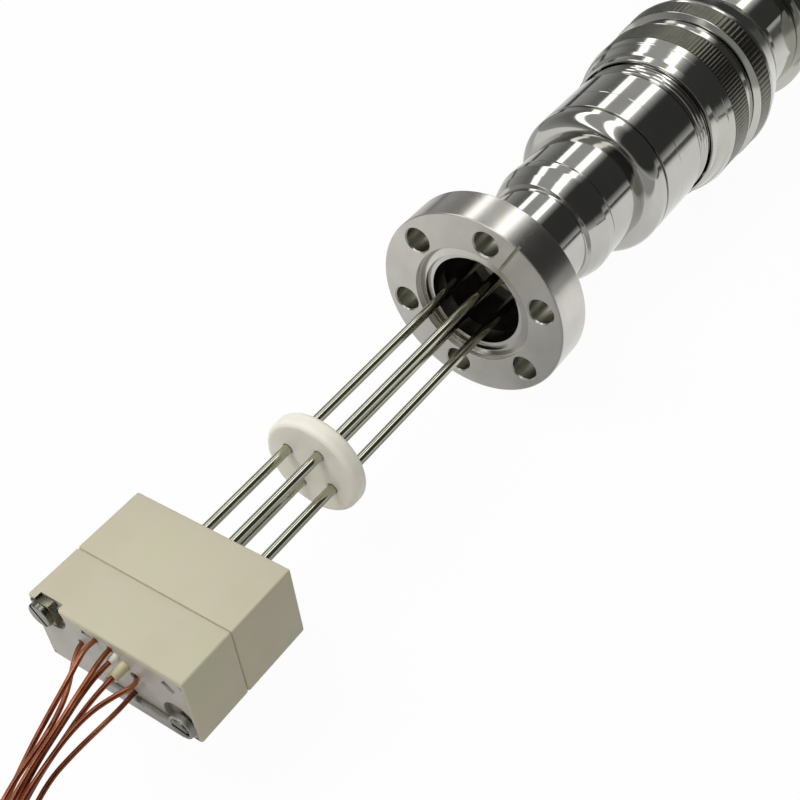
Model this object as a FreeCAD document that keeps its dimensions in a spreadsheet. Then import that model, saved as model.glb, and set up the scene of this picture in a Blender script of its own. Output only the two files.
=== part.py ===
"""Electrical vacuum feedthrough on a 34 mm knife-edge flange, with its wired block and its mated plug.

The origin is the centre of the flange's sealing face. +X runs along the axis to the air side, +Z is up.
Lengths are in millimetres. Stations along X are worked out from the lengths in the sheet.
"""
import FreeCAD, Part
import Sketcher
import math
import os
import re

SIZES = {
    # Knife-edge flange
    "flange_r": 17.0,
    "flange_thick": 7.2,
    "flange_edge": 0.3,
    "recess_r": 10.7,
    "recess_deep": 1.1,
    "knife_r": 9.15,
    "knife_deep": 0.55,
    "knife_inner_r": 8.9,
    "knife_inner_deep": 1.3,
    "flow_bore_r": 8.2,
    "bolt_circle_r": 13.5,
    "bolt_hole_r": 2.2,
    "bolt_count": 6,
    "bolt_angle": 45.0,
    "leak_slot_w": 0.8,
    "leak_slot_angle": 123.0,
    "leak_slot_overrun": 1.0,
    "neck_seat": 2.5,
    # Weld adapter
    "neck_r": 9.2,
    "neck_len": 14.2,
    "foot_len": 0.4,
    "foot_r": 9.9,
    "rise_len": 1.8,
    "rise_r": 10.6,
    "swell_len": 2.2,
    "collar_r": 11.15,
    "collar_land": 1.6,
    "collar_fall": 0.6,
    "tube_r": 10.95,
    "tube_len": 9.3,
    "tube_bore_r": 9.6,
    "tube_bore_deep": 14.3,
    "spigot_r": 10.3,
    "spigot_len": 4.0,
    # Receptacle shell
    "shell_r": 14.0,
    "shell_len": 28.7,
    "front_land": 0.25,
    "shell_wall": 2.4,
    "band_gap": 1.2,
    "band_w": 0.7,
    "band_deep": 0.5,
    "thread_start": 17.5,
    "thread_drop": 0.3,
    # Ceramic header
    "header_start": 4.8,
    "header_sleeve_len": 7.0,
    "header_sleeve_inset": 2.0,
    "ceramic_r": 7.6,
    "ceramic_thick": 3.0,
    "braze_r": 1.3,
    "braze_len": 1.4,
    # Conductors
    "rod_r": 0.78,
    "rod_circle_r": 4.28,
    "rod_angle": 31.0,
    "rod_slip": 0.02,
    "rod_tip_round": 0.3,
    "rod_back": 78.0,
    "pin_len": 10.0,
    "insert_thick": 4.7,
    "insert_slip": 0.05,
    # Spacer disc
    "disc_r": 8.15,
    "disc_thick": 3.0,
    "disc_round": 0.9,
    "disc_back": 39.3,
    # Connector block
    "block_back": 61.9,
    "block_w": 26.8,
    "block_h": 12.4,
    "block_round": 0.35,
    "rear_len": 11.4,
    "front_len": 9.0,
    "front_wall": 1.2,
    "side_wall": 0.5,
    "top_wall": 1.1,
    "floor_wall": 0.45,
    "plate_thick": 1.5,
    "plate_slip": 0.05,
    "plate_round": 0.8,
    "sleeve_slip": 0.05,
    # Clamp bar on the end plate
    "bar_left": 2.6,
    "bar_h": 1.9,
    "bar_eye_r": 2.2,
    "bar_proud": 0.8,
    "bar_round": 0.9,
    # Block screws
    "screw_in_left": 2.5,
    "screw_down_left": 2.0,
    "screw_in_right": 2.2,
    "screw_up_right": 2.8,
    "screw_hole_spare": 1.0,
    "screw_shank_r": 1.25,
    "screw_slip": 0.05,
    "screw_head_r": 1.9,
    "screw_head_len": 0.9,
    "screw_grip": 8.0,
    "screw_slot_w": 0.5,
    "screw_slot_deep": 0.6,
    "boss_r": 1.85,
    # Terminals, ferrules and leads
    "terminal_gap": 0.6,
    "terminal_len": 5.3,
    "terminal_clear": 0.2,
    "wire_r": 0.35,
    "wire_slip": 0.14,
    "hook_hole_r": 0.75,
    "ferrule_bore_r": 0.45,
    "white_ferrule_r": 0.56,
    "white_ferrule_len": 1.2,
    "beige_ferrule_r": 0.75,
    "beige_ferrule_len": 2.2,
    # Plug
    "seal_thick": 0.3,
    "seal_gap": 0.1,
    "seal_step": 0.1,
    "shoulder_slip": 0.5,
    "shoulder_len": 2.6,
    "nose_slip": 0.2,
    "nose_gap": 1.2,
    "nose_wall": 1.0,
    "body_step": 0.25,
    "plug_rear_wall": 2.05,
    "plug_bore_end": 3.9,
    "plug_body_len": 17.0,
    "plug_insert_sink": 0.3,
    "contact_r": 1.5,
    "contact_slip": 0.05,
    "contact_start": 0.6,
    "contact_tip_gap": 1.0,
    "contact_tail": 1.8,
    "solder_cup_r": 1.0,
    "solder_cup_deep": 3.5,
    # Coupling nut
    "nut_overlap": 7.5,
    "nut_rim_wall": 0.6,
    "nut_rim_len": 2.0,
    "nut_mouth_deep": 3.0,
    "nut_slip": 0.05,
    "nut_bevel_len": 2.5,
    "nut_bevel_rise": 1.5,
    "nut_step_len": 1.4,
    "nut_step_rise": 2.0,
    "nut_knurl_rise": 2.2,
    "nut_knurl_len": 6.1,
    "nut_fall_len": 1.1,
    "nut_tail_rise": 1.2,
    "nut_tail_len": 2.6,
    "nut_play": 0.1,
    "retainer_rise": 0.95,
    "retainer_thick": 0.8,
    "retainer_groove_deep": 0.55,
    # Backshell and gland
    "backshell_gap": 0.3,
    "backshell_lip_len": 0.5,
    "backshell_lip_rise": 2.5,
    "backshell_knurl_rise": 2.6,
    "backshell_knurl_len": 4.5,
    "backshell_ring_len": 2.5,
    "backshell_ring_rise": 2.0,
    "backshell_slope_len": 2.5,
    "backshell_slope_rise": 1.3,
    "backshell_waist_len": 2.5,
    "backshell_waist_rise": 0.3,
    "backshell_neck_len": 3.0,
    "barrel_wall": 0.85,
    "barrel_len": 11.0,
    "barrel_flat_cut": 0.7,
    "barrel_flat_margin": 1.2,
    "barrel_flat_angle": 160.0,
    "gland_seat_step": 0.4,
    "gland_seat_deep": 2.0,
    "gland_spigot_step": 2.3,
    "gland_spigot_len": 6.0,
    "gland_spigot_wall": 1.2,
    "gland_rise": 2.1,
    "gland_len": 11.0,
    "gland_round": 1.5,
    "gland_gap": 0.2,
    "gland_cable_r": 4.0,
    "gland_washer_thick": 1.0,
    "gland_washer_bore_r": 4.4,
    "gland_seal_bore_r": 3.0,
}

# Stations along X, from the vacuum side to the air side
FLANGE_BACK = "flange_thick"
NECK_END = "(flange_thick + neck_len)"
FOOT_END = f"({NECK_END} + foot_len)"
RISE_END = f"({FOOT_END} + rise_len)"
SWELL_END = f"({RISE_END} + swell_len)"
LAND_END = f"({SWELL_END} + collar_land)"
COLLAR_END = f"({LAND_END} + collar_fall)"
SHELL_FRONT = f"({COLLAR_END} + tube_len)"
SPIGOT_END = f"({SHELL_FRONT} + spigot_len)"
INSERT_FACE = f"({SPIGOT_END} + insert_thick)"
SHELL_END = f"({SHELL_FRONT} + shell_len)"
PIN_TIP = f"({INSERT_FACE} + pin_len)"
HEADER_START = f"({FLANGE_BACK} + header_start)"
CERAMIC_START = f"({HEADER_START} + header_sleeve_inset)"
SHOULDER = f"({SHELL_END} + seal_gap + seal_thick)"
SHOULDER_END = f"({SHOULDER} + shoulder_len)"
NOSE_TIP = f"({INSERT_FACE} + nose_gap)"
PLUG_STEP = f"({SHOULDER} + plug_bore_end)"
NUT_FRONT = f"({SHELL_END} - nut_overlap)"
NUT_RIM_END = f"({NUT_FRONT} + nut_rim_len)"
NUT_BEVEL_END = f"({NUT_RIM_END} + nut_bevel_len)"
NUT_STEP_END = f"({NUT_BEVEL_END} + nut_step_len)"
NUT_KNURL_END = f"({NUT_STEP_END} + nut_knurl_len)"
NUT_TAIL = f"({NUT_KNURL_END} + nut_fall_len)"
NUT_END = f"({NUT_TAIL} + nut_tail_len)"
RETAINER = f"({NUT_END} + nut_play)"
RETAINER_END = f"({RETAINER} + retainer_thick)"
PLUG_END = f"({RETAINER_END} + plug_body_len)"
BACKSHELL = f"({NUT_END} + backshell_gap)"
LIP_END = f"({BACKSHELL} + backshell_lip_len)"
KNURL_END = f"({LIP_END} + backshell_knurl_len)"
RING_END = f"({KNURL_END} + backshell_ring_len)"
SLOPE_END = f"({RING_END} + backshell_slope_len)"
WAIST_END = f"({SLOPE_END} + backshell_waist_len)"
BARREL = f"({WAIST_END} + backshell_neck_len)"
BARREL_END = f"({BARREL} + barrel_len)"
SPIGOT_TIP = f"({BARREL_END} + gland_spigot_len)"
GLAND_FRONT = f"({BARREL_END} + gland_gap)"
GLAND_END = f"({GLAND_FRONT} + gland_len)"
GLAND_WALL = f"({SPIGOT_TIP} + gland_washer_thick)"

# Radii of the shell, the plug, the nut and the gland, each from the one that it fits
SHELL_ROUND = "(shell_r - tube_r - front_land)"
SHELL_BORE_R = "(shell_r - shell_wall)"
THREAD_R = "(shell_r - thread_drop)"
NOSE_R = f"({SHELL_BORE_R} - nose_slip)"
PLUG_BORE_R = f"({NOSE_R} - nose_wall)"
PLUG_BODY_R = f"({NOSE_R} + body_step)"
SHOULDER_R = f"({THREAD_R} - shoulder_slip)"
RETAINER_R = f"({PLUG_BODY_R} + retainer_rise)"
RETAINER_GROOVE_R = f"({PLUG_BODY_R} - retainer_groove_deep)"
NUT_TAIL_R = "(shell_r + nut_tail_rise)"
BARREL_R = f"({PLUG_BODY_R} + barrel_wall)"
GLAND_SPIGOT_R = f"({BARREL_R} - gland_spigot_step)"
GLAND_BORE_R = f"({GLAND_SPIGOT_R} - gland_spigot_wall)"
GLAND_R = f"({BARREL_R} + gland_rise)"

# Stations of the block, which lies on the vacuum side
BLOCK_MID = "(0 - block_back - rear_len)"
BLOCK_FRONT = f"({BLOCK_MID} - front_len)"
CAVITY_BACK = f"({BLOCK_MID} - front_wall)"
PLATE_BACK = f"({BLOCK_FRONT} + plate_thick)"
TERMINAL_FACE = f"({PLATE_BACK} + terminal_gap)"

# Where the block's two screws stand, across the axis: the upper one and the lower one, which holds the bar
SCREW_PLACES = [("(block_w / 2 - screw_in_left)", "(block_h / 2 - screw_down_left)"),
                ("(screw_in_right - block_w / 2)", "(screw_up_right - block_h / 2)")]
SCREW_SEATS = [BLOCK_FRONT, f"({BLOCK_FRONT} - bar_proud)"]

# The places, across the axis, where the four terminals reach out to their leads: low y, high y, low z, high z
TERMINAL_TOP = "(block_h / 2 - top_wall - terminal_clear)"
TERMINAL_SPANS = [(0.7, 6.2, 0.8, TERMINAL_TOP), (-4.1, 0.2, 1.9, TERMINAL_TOP),
                  (-6.0, -1.3, -4.6, 1.4), (0.6, 4.5, -5.0, -1.6)]

# Each lead's route, from its terminal out through the end plate, chosen by hand
LEADS = {
    "lead_1": [
        (-80.2, 1.7, 4.4), (-82.2, 1.7, 4.4), (-83.9, 1.3, 5.2), (-85.9, 0.2, 6.1),
        (-88.8, -0.8, 5.9), (-92.2, -1.0, 4.4), (-96.5, -0.7, 1.5), (-102.0, -0.2, -3.2),
        (-107.3, 0.6, -9.8), (-110.5, 1.1, -17.6)],
    "lead_2": [
        (-80.2, 5.2, 1.6), (-82.1, 5.2, 1.6), (-84.0, 4.4, 1.8), (-86.2, 2.8, 1.9),
        (-88.8, 0.9, 2.0), (-91.8, -0.8, 2.5), (-95.6, -2.4, 3.0), (-101.0, -3.5, 3.2),
        (-108.0, -4.4, 0.4), (-112.6, -4.9, -5.4)],
    "lead_3": [
        (-80.2, -0.8, 4.4), (-82.7, -0.8, 4.4), (-85.2, -1.8, 5.3), (-88.0, -3.0, 6.0),
        (-91.2, -3.8, 6.0), (-94.8, -4.3, 5.2), (-99.0, -4.8, 4.5), (-104.9, -5.5, 2.4),
        (-110.6, -6.0, -2.4), (-114.6, -6.2, -8.7)],
    "lead_4": [
        (-80.2, -1.6, 3.6), (-82.9, -1.6, 3.6), (-85.9, -1.75, 3.8), (-89.2, -2.5, 4.1),
        (-93.0, -3.0, 3.4), (-98.0, -3.3, 1.9), (-104.0, -3.6, -1.4), (-109.5, -3.9, -7.0),
        (-112.8, -4.1, -13.9)],
    "lead_5": [
        (-80.2, -2.8, 2.5), (-82.9, -2.8, 2.5), (-86.0, -2.7, 2.45), (-89.8, -2.7, 1.9),
        (-94.2, -3.5, 1.6), (-99.2, -4.6, 1.6), (-105.2, -5.4, -0.8), (-110.8, -5.8, -6.2),
        (-114.2, -6.0, -13.1)],
    "lead_6": [
        (-80.2, -3.9, 0.9), (-82.1, -3.9, 0.9), (-83.1, -5.3, 1.7), (-84.4, -5.6, 2.3),
        (-86.5, -4.9, 2.6), (-89.4, -4.3, 2.9), (-93.0, -4.5, 3.3), (-97.4, -5.4, 3.6),
        (-103.0, -6.6, 3.4), (-110.0, -7.8, -0.2), (-114.8, -8.4, -6.2)],
    "lead_7": [
        (-80.2, -2.8, -3.0), (-82.8, -2.8, -3.0), (-85.6, -3.7, -1.9), (-89.0, -4.1, -1.1),
        (-93.5, -4.5, -0.2), (-98.5, -5.1, 0.4), (-104.5, -5.9, -2.3), (-110.0, -6.3, -8.3),
        (-112.9, -6.5, -15.6)],
}

AXIS_X = FreeCAD.Rotation(FreeCAD.Vector(0, 1, 0), 90)
MM_CLOSE = 1e-6

doc = FreeCAD.newDocument("VacuumFeedthrough")
sheet = doc.addObject("Spreadsheet::Sheet", "Sizes")
for row, (name, number) in enumerate(SIZES.items(), start=1):
    sheet.set(f"A{row}", name)
    sheet.set(f"B{row}", str(number))
    sheet.setAlias(f"B{row}", name)
doc.recompute()

nodes = []


def bound(text):
    """Turn the plain size names in a formula into references to the sheet."""
    return re.sub(r"[a-z_]+", lambda word: "Sizes." + word[0] if word[0] in SIZES else word[0], str(text))


def value(text):
    """Work a formula out to a number."""
    return float(sheet.evalExpression(bound(text)))


def bind(thing, **formulas):
    """Bind properties of a document object to formulas on the sheet; double underscores stand for dots."""
    for place, text in formulas.items():
        thing.setExpression(place.replace("__", "."), bound(text))


def new_body(name):
    body = doc.addObject("PartDesign::Body", name)
    body.Label = name
    nodes.append(body)
    return body


def origin_plane(body, role):
    return [feature for feature in body.Origin.OriginFeatures if feature.Role == role][0]


def new_sketch(body, role, name):
    sketch = body.newObject("Sketcher::SketchObject", name)
    sketch.AttachmentSupport = (origin_plane(body, role), "")
    sketch.MapMode = "FlatFace"
    return sketch


def fix_point(sketch, edge, end, across, up, label):
    """Hold one end of a sketch edge at two bound distances from the sketch's origin."""
    for kind, text in (("DistanceX", across), ("DistanceY", up)):
        row = sketch.addConstraint(Sketcher.Constraint(kind, -1, 1, edge, end, value(text)))
        sketch.renameConstraint(row, f"{label}_{kind[-1]}")
        sketch.setExpression(f"Constraints.{label}_{kind[-1]}", bound(text))


def arc_between(start, end, radius):
    """An arc of the given radius that bulges outwards, away from the axis, between two profile corners."""
    chord = end - start
    half = chord.Length / 2
    middle = (start + end) / 2
    outward = FreeCAD.Vector(-chord.y, chord.x, 0)
    outward.normalize()
    rise = radius - math.sqrt(max(radius * radius - half * half, 0))
    return Part.Arc(start, middle + outward * rise, end)


def profile(sketch, corners, arcs):
    """Draw a closed outline through bound corners. arcs gives the radius of each side that is round."""
    points = [FreeCAD.Vector(value(across), value(up), 0) for across, up in corners]
    starts = []
    for index, point in enumerate(points):
        following = points[(index + 1) % len(points)]
        if index in arcs:
            edge = sketch.addGeometry(arc_between(point, following, value(arcs[index])), False)
        else:
            edge = sketch.addGeometry(Part.LineSegment(point, following), False)
        starts.append(1 if (sketch.getPoint(edge, 1) - point).Length < MM_CLOSE else 2)
    for index in range(len(points)):
        following = (index + 1) % len(points)
        join = Sketcher.Constraint("Coincident", index, 3 - starts[index], following, starts[following])
        sketch.addConstraint(join)
    for index, (across, up) in enumerate(corners):
        fix_point(sketch, index, starts[index], across, up, f"corner{index}")
    for index, radius in arcs.items():
        row = sketch.addConstraint(Sketcher.Constraint("Radius", index, value(radius)))
        sketch.renameConstraint(row, f"round{index}")
        sketch.setExpression(f"Constraints.round{index}", bound(radius))


def turned(name, corners, arcs=None, body=None):
    """A piece turned about the X axis from an outline of (station, radius) corners."""
    body = body or new_body(name)
    sketch = new_sketch(body, "XZ_Plane", name + "_outline")
    profile(sketch, corners, arcs or {})
    turn = body.newObject("PartDesign::Revolution", name + "_turning")
    turn.Profile = sketch
    turn.ReferenceAxis = (sketch, ["H_Axis"])
    turn.Angle = 360
    return body


def ring(name, low, high, inner, outer):
    """A plain turned ring between two stations."""
    return turned(name, [(low, inner), (low, outer), (high, outer), (high, inner)])


def drilled(body, name, low, high, radius, across, up):
    """Drill a hole along X between two stations of a body."""
    hole = body.newObject("PartDesign::SubtractiveCylinder", name)
    hole.Placement = FreeCAD.Placement(FreeCAD.Vector(0, 0, 0), AXIS_X)
    bind(hole, Radius=radius, Height=f"{high} - {low}")
    bind(hole, Placement__Base__x=low, Placement__Base__y=across, Placement__Base__z=up)
    return hole


def boxed(body, kind, name, span_x, span_y, span_z):
    """Add or cut a box in a body, between two bound planes each way."""
    box = body.newObject("PartDesign::" + kind, name)
    for prop, axis, (low, high) in zip(("Length", "Width", "Height"), "xyz", (span_x, span_y, span_z)):
        box.setExpression(prop, bound(f"({high}) - ({low})"))
        box.setExpression("Placement.Base." + axis, bound(low))
    return box


def rounded_long_edges(body, feature, name, radius, lowest_y=-math.inf):
    """Round the edges of a box that run along X, above a given y."""
    doc.recompute()
    rounding = body.newObject("PartDesign::Fillet", name)
    edges = []
    for index, edge in enumerate(feature.Shape.Edges, start=1):
        along = edge.lastVertex().Point - edge.firstVertex().Point
        if abs(along.y) < MM_CLOSE and abs(along.z) < MM_CLOSE and edge.firstVertex().Y > lowest_y:
            edges.append(f"Edge{index}")
    rounding.Base = (feature, edges)
    rounding.Radius = value(radius)
    rounding.setExpression("Radius", bound(radius))
    return rounding


def rod_place(index):
    """Where rod number index crosses a plane square to the axis."""
    angle = f"(rod_angle + {90 * index})"
    return f"(rod_circle_r * cos({angle} * 1 deg))", f"(rod_circle_r * sin({angle} * 1 deg))"


def drill_for_rods(body, name, low, high, radius):
    for index in range(4):
        across, up = rod_place(index)
        drilled(body, f"{name}_rod_hole_{index + 1}", low, high, radius, across, up)


def make_flange():
    body = turned("cf_flange", [
        ("0", "flange_r - flange_edge"), ("flange_edge", "flange_r"),
        ("flange_thick - flange_edge", "flange_r"), ("flange_thick", "flange_r - flange_edge"),
        ("flange_thick", "neck_r"), ("flange_thick - neck_seat", "neck_r"),
        ("flange_thick - neck_seat", "flow_bore_r"), ("knife_inner_deep", "flow_bore_r"),
        ("knife_inner_deep", "knife_inner_r"), ("knife_deep", "knife_r"),
        ("recess_deep", "recess_r"), ("0", "recess_r")])
    holes = new_sketch(body, "YZ_Plane", "bolt_hole_sketch")
    centre = FreeCAD.Vector(value("bolt_circle_r"), 0, 0)
    circle = Part.Circle(centre, FreeCAD.Vector(0, 0, 1), value("bolt_hole_r"))
    edge = holes.addGeometry(circle, False)
    fix_point(holes, edge, 3, "bolt_circle_r", "0", "centre")
    row = holes.addConstraint(Sketcher.Constraint("Radius", edge, value("bolt_hole_r")))
    holes.renameConstraint(row, "hole_radius")
    holes.setExpression("Constraints.hole_radius", bound("bolt_hole_r"))
    holes.setExpression("AttachmentOffset.Rotation.Angle", bound("bolt_angle * 1 deg"))
    pocket = body.newObject("PartDesign::Pocket", "bolt_hole")
    pocket.Profile = holes
    pocket.Type = "ThroughAll"
    pocket.Reversed = True
    pattern = body.newObject("PartDesign::PolarPattern", "bolt_holes")
    pattern.Originals = [pocket]
    pattern.Axis = (holes, ["N_Axis"])
    pattern.Angle = 360
    pattern.setExpression("Occurrences", bound("bolt_count"))
    body.Tip = pattern
    slot = new_sketch(body, "YZ_Plane", "leak_slot_sketch")
    slot_start = "recess_r - knife_deep"
    slot_end = "flange_r + leak_slot_overrun"
    profile(slot, [(slot_start, "0 - leak_slot_w / 2"), (slot_end, "0 - leak_slot_w / 2"),
                   (slot_end, "leak_slot_w / 2"), (slot_start, "leak_slot_w / 2")], {})
    slot.setExpression("AttachmentOffset.Rotation.Angle", bound("leak_slot_angle * 1 deg"))
    cut = body.newObject("PartDesign::Pocket", "leak_slot")
    cut.Profile = slot
    cut.Reversed = True
    bind(cut, Length="recess_deep - flange_edge")
    pair = body.newObject("PartDesign::PolarPattern", "leak_slots")
    pair.Originals = [cut]
    pair.Axis = (slot, ["N_Axis"])
    pair.Angle = 360
    pair.Occurrences = 2
    body.Tip = pair


def make_weld_adapter():
    turned("weld_adapter", [
        ("flange_thick - neck_seat", "flow_bore_r"), ("flange_thick - neck_seat", "neck_r"),
        (NECK_END, "neck_r"),
        (FOOT_END, "foot_r"), (RISE_END, "rise_r"), (SWELL_END, "collar_r"), (LAND_END, "collar_r"),
        (COLLAR_END, "tube_r"), (SHELL_FRONT, "tube_r"), (SHELL_FRONT, "spigot_r"), (SPIGOT_END, "spigot_r"),
        (SPIGOT_END, "tube_bore_r"), (f"{SHELL_FRONT} - tube_bore_deep", "tube_bore_r"),
        (f"{SHELL_FRONT} - tube_bore_deep", "flow_bore_r")])


def make_receptacle_shell():
    band = f"({SHELL_FRONT} + {SHELL_ROUND} + band_gap)"
    thread = f"({SHELL_FRONT} + thread_start)"
    turned("receptacle_shell", [
        (SHELL_FRONT, "spigot_r"), (SHELL_FRONT, f"shell_r - {SHELL_ROUND}"),
        (f"{SHELL_FRONT} + {SHELL_ROUND}", "shell_r"), (band, "shell_r"), (band, "shell_r - band_deep"),
        (f"{band} + band_w", "shell_r - band_deep"), (f"{band} + band_w", "shell_r"), (thread, "shell_r"),
        (f"{thread} + thread_drop", THREAD_R), (SHELL_END, THREAD_R), (SHELL_END, SHELL_BORE_R),
        (SPIGOT_END, SHELL_BORE_R), (SPIGOT_END, "spigot_r")], arcs={1: SHELL_ROUND})


def make_header():
    end = f"({HEADER_START} + header_sleeve_len)"
    ring("header_sleeve", HEADER_START, end, "ceramic_r", "flow_bore_r")
    ceramic_end = f"({CERAMIC_START} + ceramic_thick)"
    ceramic = turned("header_ceramic", [(CERAMIC_START, "0"), (CERAMIC_START, "ceramic_r"),
                                        (ceramic_end, "ceramic_r"), (ceramic_end, "0")])
    drill_for_rods(ceramic, "ceramic", CERAMIC_START, ceramic_end, "rod_r")
    for index in range(4):
        across, up = rod_place(index)
        collar = new_body(f"braze_collar_{index + 1}")
        sleeve = collar.newObject("PartDesign::AdditiveCylinder", f"braze_ring_{index + 1}")
        sleeve.Placement = FreeCAD.Placement(FreeCAD.Vector(0, 0, 0), AXIS_X)
        start = f"({CERAMIC_START} - braze_len)"
        bind(sleeve, Radius="braze_r", Height="braze_len")
        bind(sleeve, Placement__Base__x=start, Placement__Base__y=across, Placement__Base__z=up)
        drilled(collar, f"braze_hole_{index + 1}", start, CERAMIC_START, "rod_r", across, up)


def make_conductors():
    for index in range(4):
        across, up = rod_place(index)
        name = f"conductor_{index + 1}"
        body = turned(name, [
            ("0 - rod_back", "0"), ("0 - rod_back", "rod_r"), (f"{PIN_TIP} - rod_tip_round", "rod_r"),
            (PIN_TIP, "rod_r - rod_tip_round"), (PIN_TIP, "0")])
        bind(body, Placement__Base__y=across, Placement__Base__z=up)


def make_spacer_disc():
    low, high = "(0 - disc_back - disc_thick)", "(0 - disc_back)"
    body = turned("spacer_disc", [
        (low, "0"), (low, "disc_r - disc_round"), (f"{low} + disc_round", "disc_r"),
        (f"{high} - disc_round", "disc_r"), (high, "disc_r - disc_round"), (high, "0")],
        arcs={1: "disc_round", 3: "disc_round"})
    drill_for_rods(body, "disc", low, high, "rod_r + rod_slip")


def make_rear_housing():
    body = new_body("rear_housing")
    box = boxed(body, "AdditiveBox", "rear_block", (BLOCK_MID, "0 - block_back"),
                ("0 - block_w / 2", "block_w / 2"), ("0 - block_h / 2", "block_h / 2"))
    rounded_long_edges(body, box, "rear_edges", "block_round")
    drill_for_rods(body, "rear", BLOCK_MID, "(0 - block_back)", "rod_r + rod_slip")
    drill_for_screws(body, "rear", BLOCK_MID, f"({BLOCK_MID} + screw_grip + screw_hole_spare)",
                     "screw_shank_r + screw_slip")


def drill_for_screws(body, name, low, high, radius):
    for index, (across, up) in enumerate(SCREW_PLACES, start=1):
        drilled(body, f"{name}_screw_hole_{index}", low, high, radius, across, up)


def make_front_housing():
    body = new_body("front_housing")
    box = boxed(body, "AdditiveBox", "front_block", (BLOCK_FRONT, BLOCK_MID),
                ("0 - block_w / 2", "block_w / 2"), ("0 - block_h / 2", "block_h / 2"))
    rounded_long_edges(body, box, "front_edges", "block_round")
    boxed(body, "SubtractiveBox", "front_cavity", (BLOCK_FRONT, CAVITY_BACK),
          ("side_wall - block_w / 2", "block_w / 2 - side_wall"),
          ("floor_wall - block_h / 2", "block_h / 2 - top_wall"))
    for index, (across, up) in enumerate(SCREW_PLACES, start=1):
        boss = body.newObject("PartDesign::AdditiveCylinder", f"screw_boss_{index}")
        boss.Placement = FreeCAD.Placement(FreeCAD.Vector(0, 0, 0), AXIS_X)
        bind(boss, Radius="boss_r", Height=f"{CAVITY_BACK} - {PLATE_BACK} + front_wall / 2")
        bind(boss, Placement__Base__x=PLATE_BACK, Placement__Base__y=across, Placement__Base__z=up)
    drill_for_rods(body, "front", CAVITY_BACK, BLOCK_MID, "rod_r + rod_slip")
    drill_for_screws(body, "front", BLOCK_FRONT, BLOCK_MID, "screw_shank_r + screw_slip")


def lead_exit(name):
    """Where a lead comes straight out of the plate."""
    return str(LEADS[name][0][1]), str(LEADS[name][0][2])


def make_end_plate():
    body = new_body("end_plate")
    box = boxed(body, "AdditiveBox", "plate_blank", (BLOCK_FRONT, PLATE_BACK),
                ("side_wall + plate_slip - block_w / 2", "block_w / 2 - side_wall - plate_slip"),
                ("floor_wall + plate_slip - block_h / 2", "block_h / 2 - top_wall - plate_slip"))
    rounded_long_edges(body, box, "plate_edges", "plate_round")
    drill_for_screws(body, "plate", BLOCK_FRONT, PLATE_BACK, "screw_shank_r + screw_slip")
    radii = {"lead_4": "white_ferrule_r + sleeve_slip", "lead_5": "beige_ferrule_r + sleeve_slip",
             "lead_6": "hook_hole_r"}
    for name in LEADS:
        across, up = lead_exit(name)
        if name == "lead_6":
            across, up = f"({across} - wire_r / 2)", f"({up} + wire_r / 2)"
        drilled(body, f"{name}_hole", BLOCK_FRONT, PLATE_BACK, radii.get(name, "wire_r + wire_slip"),
                across, up)


def make_clamp_bar():
    """A bar across the foot of the end plate, with a round eye under the lower screw."""
    body = new_body("clamp_bar")
    front = f"({BLOCK_FRONT} - bar_proud)"
    across, up = SCREW_PLACES[1]
    box = boxed(body, "AdditiveBox", "bar_blank", (front, BLOCK_FRONT), (across, "bar_left"),
                (f"{up} - bar_eye_r", f"{up} - bar_eye_r + bar_h"))
    rounded_long_edges(body, box, "bar_edges", "bar_round", lowest_y=0)
    eye = body.newObject("PartDesign::AdditiveCylinder", "bar_eye")
    eye.Placement = FreeCAD.Placement(FreeCAD.Vector(0, 0, 0), AXIS_X)
    bind(eye, Radius="bar_eye_r", Height="bar_proud")
    bind(eye, Placement__Base__x=front, Placement__Base__y=across, Placement__Base__z=up)
    drilled(body, "bar_screw_hole", front, BLOCK_FRONT, "screw_shank_r + screw_slip", across, up)


def make_housing_screws():
    """Two slotted cheese-head screws as one node: the upper one seated on the plate, the lower one on the bar."""
    solids = []
    for index, ((across, up), seat) in enumerate(zip(SCREW_PLACES, SCREW_SEATS), start=1):
        head = doc.addObject("Part::Cylinder", f"screw_head_{index}")
        shank = doc.addObject("Part::Cylinder", f"screw_shank_{index}")
        slot = doc.addObject("Part::Box", f"screw_slot_{index}")
        for piece in (head, shank):
            piece.Placement = FreeCAD.Placement(FreeCAD.Vector(0, 0, 0), AXIS_X)
            bind(piece, Placement__Base__y=across, Placement__Base__z=up)
        bind(head, Radius="screw_head_r", Height="screw_head_len",
             Placement__Base__x=f"{seat} - screw_head_len")
        bind(shank, Radius="screw_shank_r", Height=f"{BLOCK_MID} + screw_grip - {seat}",
             Placement__Base__x=seat)
        bind(slot, Length="screw_slot_deep", Width="screw_slot_w", Height="4 * screw_head_r",
             Placement__Base__x=f"{seat} - screw_head_len",
             Placement__Base__y=f"{across} - screw_slot_w / 2", Placement__Base__z=f"{up} - 2 * screw_head_r")
        whole = doc.addObject("Part::MultiFuse", f"screw_blank_{index}")
        whole.Shapes = [head, shank]
        screw = doc.addObject("Part::Cut", f"screw_{index}")
        screw.Base = whole
        screw.Tool = slot
        solids.append(screw)
    group = doc.addObject("Part::Compound", "housing_screws")
    group.Links = solids
    group.Label = "housing_screws"
    nodes.append(group)


def make_terminals():
    for index, (low_y, high_y, low_z, high_z) in enumerate(TERMINAL_SPANS):
        name = f"terminal_{index + 1}"
        body = new_body(name)
        boxed(body, "AdditiveBox", name + "_bar", (TERMINAL_FACE, f"{TERMINAL_FACE} + terminal_len"),
              (low_y, high_y), (low_z, high_z))
        across, up = rod_place(index)
        drilled(body, name + "_socket", "(0 - rod_back)", f"({TERMINAL_FACE} + terminal_len)",
                "rod_r + rod_slip", across, up)


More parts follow.
